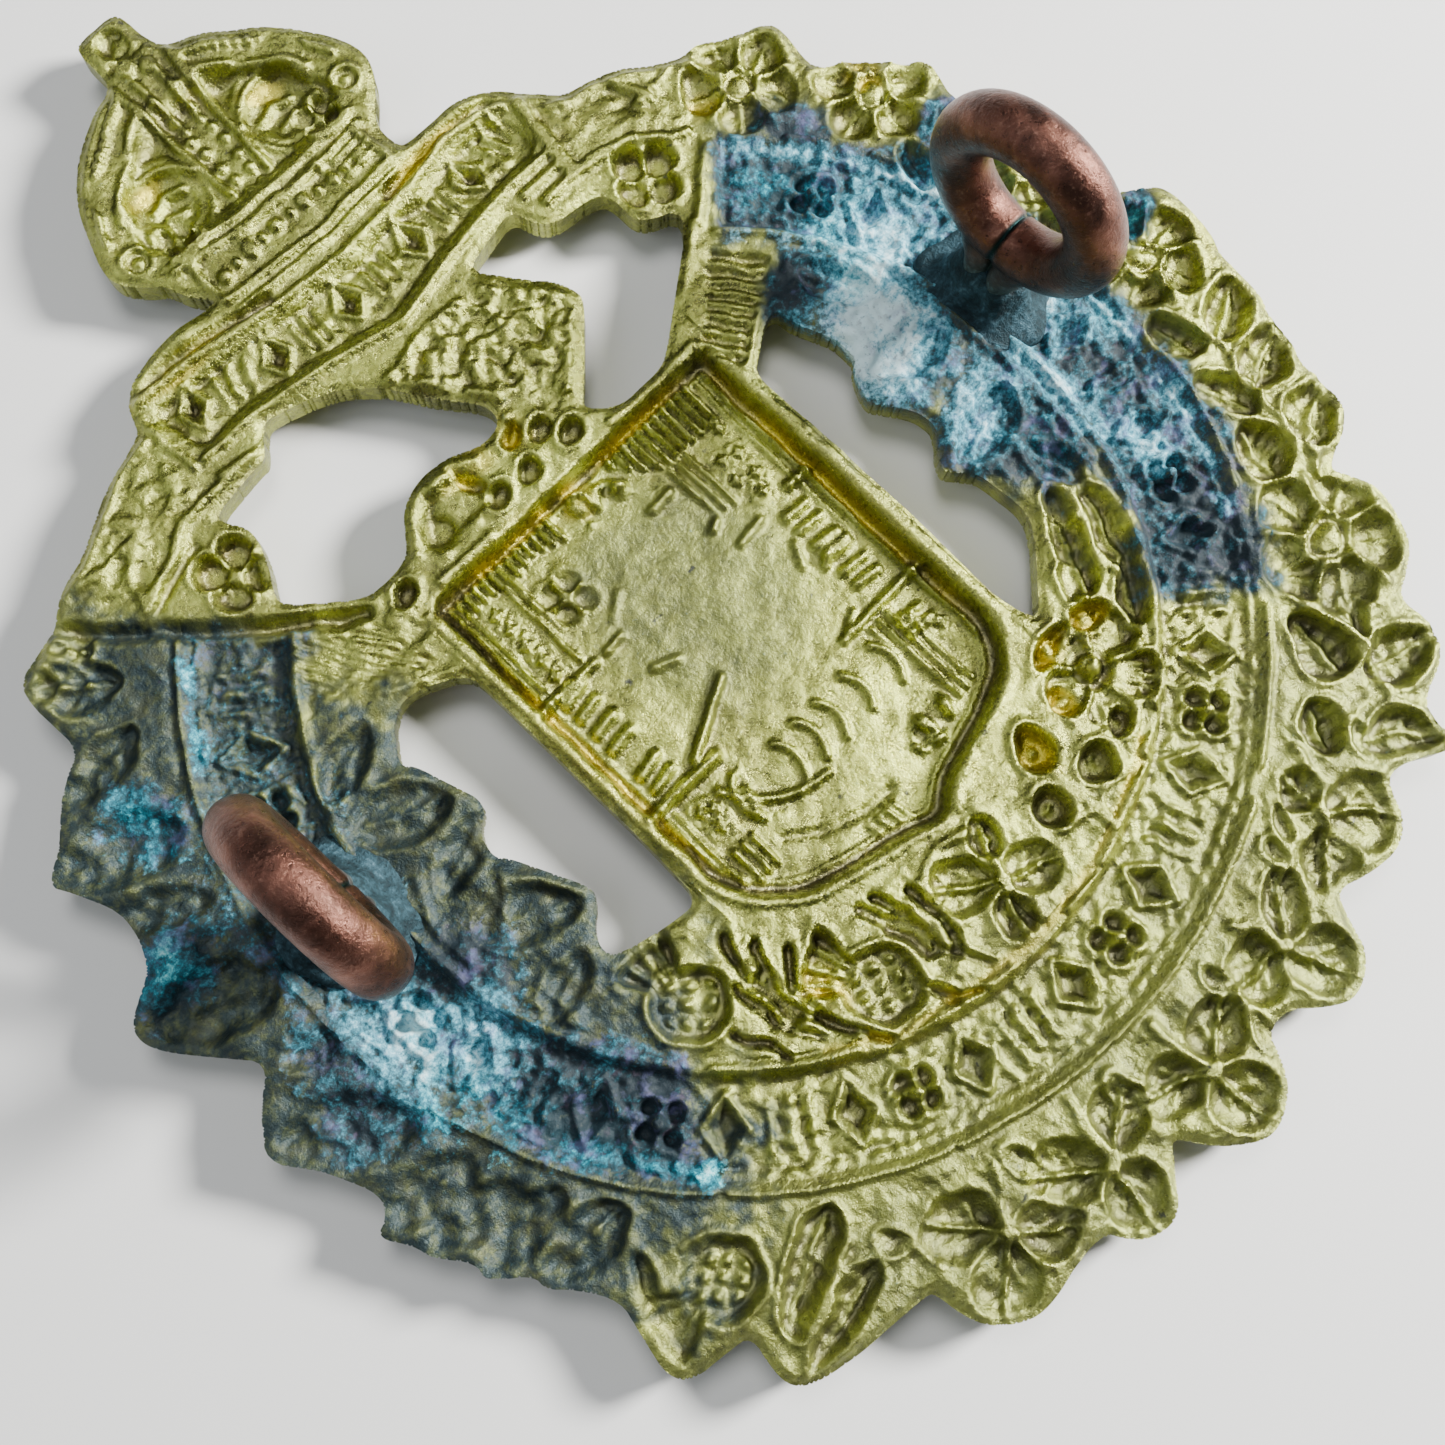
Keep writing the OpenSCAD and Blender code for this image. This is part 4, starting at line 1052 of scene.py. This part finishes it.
cx, cy = X[:-1, :-1] + NET / 2, Y[:-1, :-1] + NET / 2
cell_radius = np.hypot(cx, cy)
in_shield = (np.abs(cx) < 6.45) & (cy < 7.35) & (cy > -6.0) | (np.abs(cx) < 5.2) & (cy < 0) & (cy > -7.5)
ZONES = {
    "plate_crown": cy > 17.9,
    "plate_scroll": (cy > 11.0) & (np.abs(cx) < 9.5) & (cell_radius > 9),
    "plate_shield_right": in_shield & (cx > 0),
    "plate_shield_left": in_shield,
    "plate_band_right": (cell_radius > 13) & (cell_radius < 16.5) & (cx >= 0),
    "plate_band_left": (cell_radius > 13) & (cell_radius < 16.5) & (cx < 0),
    "plate_roses": (cell_radius >= 16.5) & (cx >= 6),
    "plate_shamrocks": (cell_radius >= 16.5) & (cy < -12),
    "plate_thistles": (cell_radius >= 16.5),
    "plate_sprigs_right": cx > 0,
    "plate_sprigs_left": cx <= 0,
}
# each field that the brass reads, and how much of it shows on the face; a crease turns over
FIELDS = [("crease", crease, None), ("verdigris", verdigris, 0), ("chalky", chalky, 0),
          ("turquoise", turquoise, 0), ("golden_highlight", golden_highlight, 0), ("dulled", dulled, 0.3)]


def cut_piece(name, cells):
    """Makes one part of the plate, back, face and walls, from the marked cells of the net."""
    rows, cols = np.nonzero(cells)
    r0, r1, c0, c1 = rows.min(), rows.max() + 1, cols.min(), cols.max() + 1
    mesh = bmesh.new()
    bmesh.ops.create_grid(mesh, x_segments=int(c1 - c0), y_segments=int(r1 - r0), size=0.5)
    for v in mesh.verts:
        v.co.x = round((v.co.x + 0.5) * (c1 - c0)) + c0
        v.co.y = round((v.co.y + 0.5) * (r1 - r0)) + r0
    spare = []
    for f in mesh.faces:
        low = min((v.co.y, v.co.x) for v in f.verts)
        if not cells[int(low[0]), int(low[1])]:
            spare.append(f)
    bmesh.ops.delete(mesh, geom=spare, context="FACES")
    bmesh.ops.recalc_face_normals(mesh, faces=mesh.faces[:])
    face = bmesh.ops.extrude_face_region(mesh, geom=mesh.faces[:], use_keep_orig=True)["geom"]
    sunk = [v for v in face if isinstance(v, bmesh.types.BMVert)]
    bmesh.ops.translate(mesh, vec=(0, 0, -1), verts=sunk)
    bmesh.ops.recalc_face_normals(mesh, faces=mesh.faces[:])
    data = bpy.data.meshes.new(name)
    mesh.to_mesh(data)
    mesh.free()
    spots = np.empty(len(data.vertices) * 3)
    data.vertices.foreach_get("co", spots)
    spots = spots.reshape(-1, 3)
    j, i = spots[:, 0].round().astype(int), spots[:, 1].round().astype(int)
    back = spots[:, 2] > -0.5
    spots[:, 0] = XS[i, j]
    spots[:, 1] = YS[i, j] + BAND_Y
    spots[:, 2] = np.where(back, Z[i, j], FRONT[i, j]) + BACK
    data.vertices.foreach_set("co", (spots * MM).ravel())
    for label, field, on_front in FIELDS:
        held = data.attributes.new(label, "FLOAT", "POINT")
        here = field[i, j]
        values = np.where(back, here, 1 - here if on_front is None else here * on_front)
        held.data.foreach_set("value", values.astype(np.float32))
    data.polygons.foreach_set("use_smooth", np.ones(len(data.polygons), bool))
    data.update()
    data.materials.append(brass.material)
    piece = bpy.data.objects.new(name, data)
    bpy.context.scene.collection.objects.link(piece)
    # the walls meet the back at a sharp edge
    data.set_sharp_from_angle(angle=math.radians(62))
    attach(piece, "root")
    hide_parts("struck_plate")
    return piece


left_over = cell.copy()
for name, zone in ZONES.items():
    cut_piece(name, left_over & zone)
    left_over &= ~zone


# ---------------------------------------------------------------- copper loops
# Each loop is a copper wire bent into a ring, its two ends brought together side by side as a
# shank and brazed to the back of the band. It has gone brown, and is rubbed bright in places.

WIRE_R = 0.9
RING_R = 2.5
RISE = 5.6
LOOP_AT = {"left": (-13.9, 2.0), "right": (13.9, 2.0)}

copper = Finish("brown_copper")
mottle = copper.noise(0.7, 4, 0.6, 0.3)
scuff = copper.noise(4.0, 5, 0.75)
copper_colour = copper.ramp(mottle, [(0.34, (0.048, 0.023, 0.017)), (0.50, (0.105, 0.046, 0.033)),
                                     (0.68, (0.210, 0.094, 0.066))])
copper_colour = copper.mix(copper.span(scuff, 0.56, 0.72, 0, 0.5), copper_colour, (0.36, 0.19, 0.14))
copper_colour = copper.mix(copper.span(scuff, 0.42, 0.30, 0, 0.6), copper_colour, (0.040, 0.018, 0.015))
low_down = copper.own("low")
copper_colour = copper.mix(low_down, copper_colour, copper.ramp(scuff, [
    (0.35, (0.014, 0.026, 0.026)), (0.52, (0.045, 0.070, 0.068)), (0.68, (0.12, 0.20, 0.22))]))
copper.set(
    Base_Color=copper.mix(copper.own("seam"), copper_colour, (0.006, 0.020, 0.020)),
    Metallic=copper.span(low_down, 0, 1, 0.94, 0.25),
    Roughness=copper.math("ADD", copper.span(scuff, 0.3, 0.7, 0.22, 0.42),
                          copper.math("MULTIPLY", low_down, 0.28)),
)
copper.bump(copper.math("ADD", copper.math("MULTIPLY", scuff, 0.045),
                        copper.math("MULTIPLY", mottle, 0.06)))


def shank_reach(angle, apart, wide, deep):
    """How far the outline of two ovals side by side reaches in a direction from between them."""
    c, s = abs(math.cos(angle)) / wide, math.sin(angle) / deep
    k = apart / wide
    root = (c * k) ** 2 - (c * c + s * s) * (k * k - 1)
    return (c * k + math.sqrt(max(root, 0))) / (c * c + s * s)


for side, (x, y) in LOOP_AT.items():
    mesh = bmesh.new()
    # the ring, seen along X, with more rounds near its foot, where the two ends meet
    swings = [-90 + 180 * (abs(t) ** 1.3) * (1 if t > 0 else -1) for t in np.linspace(-1, 1, 97)[:-1]]
    rounds = []
    for a in swings:
        c, s = math.cos(math.radians(a)), math.sin(math.radians(a))
        made = bmesh.ops.create_circle(mesh, segments=48, radius=WIRE_R)["verts"]
        notch = 1 - 0.10 * soft(1 - abs(a + 90) / 4)
        for v in made:
            out, across = v.co.x * notch, v.co.y * notch
            v.co = Vector((across, (RING_R + out) * c, RISE + (RING_R + out) * s))
        rounds.append([e for e in mesh.edges if e.verts[0] in made and e.verts[1] in made])
    for a, b in zip(rounds, rounds[1:] + rounds[:1]):
        bmesh.ops.bridge_loops(mesh, edges=a + b)
    # the shank: the two wire ends, pressed flat against each other, spread where they join the ring
    stack = []
    for z in np.linspace(-0.2, RISE - RING_R + 0.1, 24):
        spread = soft((z - (RISE - RING_R - 1.5)) / 1.6)
        made = bmesh.ops.create_circle(mesh, segments=64, radius=1)["verts"]
        for v in made:
            a = math.atan2(v.co.y, v.co.x)
            reach = shank_reach(a, 0.46 + 0.42 * spread, 0.58 + 0.24 * spread, 0.9 - 0.06 * spread)
            v.co = Vector((math.sin(a) * reach, math.cos(a) * reach, z))
        stack.append([e for e in mesh.edges if e.verts[0] in made and e.verts[1] in made])
    for a, b in zip(stack[:-1], stack[1:]):
        bmesh.ops.bridge_loops(mesh, edges=a + b)
    for end in (stack[0], stack[-1]):
        bmesh.ops.contextual_create(mesh, geom=end)
    bmesh.ops.recalc_face_normals(mesh, faces=mesh.faces[:])
    spots = [v.co.copy() for v in mesh.verts]
    bmesh.ops.translate(mesh, vec=place(x, y, 0) / MM, verts=mesh.verts[:])
    bmesh.ops.scale(mesh, vec=(MM, MM, MM), verts=mesh.verts[:])
    data = bpy.data.meshes.new("loop_wire_" + side)
    mesh.to_mesh(data)
    mesh.free()
    low = data.attributes.new("low", "FLOAT", "POINT")
    low.data.foreach_set("value", [float(soft((3.3 - p.z) / 2.0)) for p in spots])
    seam = data.attributes.new("seam", "FLOAT", "POINT")
    seam.data.foreach_set("value", [float(soft(1.3 - abs(p.y) / 0.12) * (p.z < RISE - 1.4))
                                    for p in spots])
    data.polygons.foreach_set("use_smooth", np.ones(len(data.polygons), bool))
    data.materials.append(copper.material)
    piece = bpy.data.objects.new("loop_wire_" + side, data)
    bpy.context.scene.collection.objects.link(piece)
    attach(piece, "root")
    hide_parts("loop_" + side)


# ---------------------------------------------------------------- brazing
# A skirt of brazing metal drawn up round the foot of each shank, crusted over like the band.

crust = Finish("crusted_braze")
crumbs = crust.noise(1.0, 5, 0.7, 0.5, (4, 4, 4))
grit = crust.noise(5.5, 4, 0.75)
crust.set(
    Base_Color=crust.ramp(crust.math("ADD", crust.math("MULTIPLY", crumbs, 0.65),
                                     crust.math("MULTIPLY", grit, 0.35)), [
        (0.38, (0.008, 0.016, 0.020)), (0.48, (0.014, 0.034, 0.042)), (0.56, (0.030, 0.070, 0.090)),
        (0.64, (0.080, 0.160, 0.200)), (0.74, (0.26, 0.40, 0.48))]),
    Roughness=crust.span(grit, 0.3, 0.7, 0.55, 0.8),
    Specular_IOR_Level=0.2,
)
crust.bump(crust.math("ADD", crust.math("MULTIPLY", grit, 0.10), crust.math("MULTIPLY", crumbs, 0.2)))

SKIRT = [(0.75, 1.75), (1.02, 1.5), (1.16, 1.05), (1.32, 0.62), (1.62, 0.26), (2.05, 0.02), (2.1, -0.3)]
for side, (x, y) in LOOP_AT.items():
    mesh = bmesh.new()
    verts = [mesh.verts.new((r, 0, z)) for r, z in SKIRT]
    edges = [mesh.edges.new(pair) for pair in zip(verts[:-1], verts[1:])]
    bmesh.ops.spin(mesh, geom=verts + edges, axis=(0, 0, 1), cent=(0, 0, 0), steps=64, angle=math.tau,
                   use_merge=True)
    rims = [e for e in mesh.edges if e.is_boundary]
    bmesh.ops.holes_fill(mesh, edges=rims, sides=0)
    bmesh.ops.subdivide_edges(mesh, edges=mesh.edges[:], cuts=1, use_grid_fill=True)
    for v in mesh.verts:
        a = math.atan2(v.co.y, v.co.x)
        swell = 1 + 0.08 * math.sin(3 * a + x) + 0.04 * math.sin(7 * a)
        v.co.x *= swell
        v.co.y *= swell * 1.08
    bmesh.ops.recalc_face_normals(mesh, faces=mesh.faces[:])
    bmesh.ops.scale(mesh, vec=(MM, MM, MM), verts=mesh.verts[:])
    bmesh.ops.translate(mesh, vec=place(x, y, 0), verts=mesh.verts[:])
    data = bpy.data.meshes.new("braze_skirt_" + side)
    mesh.to_mesh(data)
    mesh.free()
    data.polygons.foreach_set("use_smooth", np.ones(len(data.polygons), bool))
    data.materials.append(crust.material)
    piece = bpy.data.objects.new("braze_skirt_" + side, data)
    bpy.context.scene.collection.objects.link(piece)
    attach(piece, "root")
    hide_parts("braze_" + side)
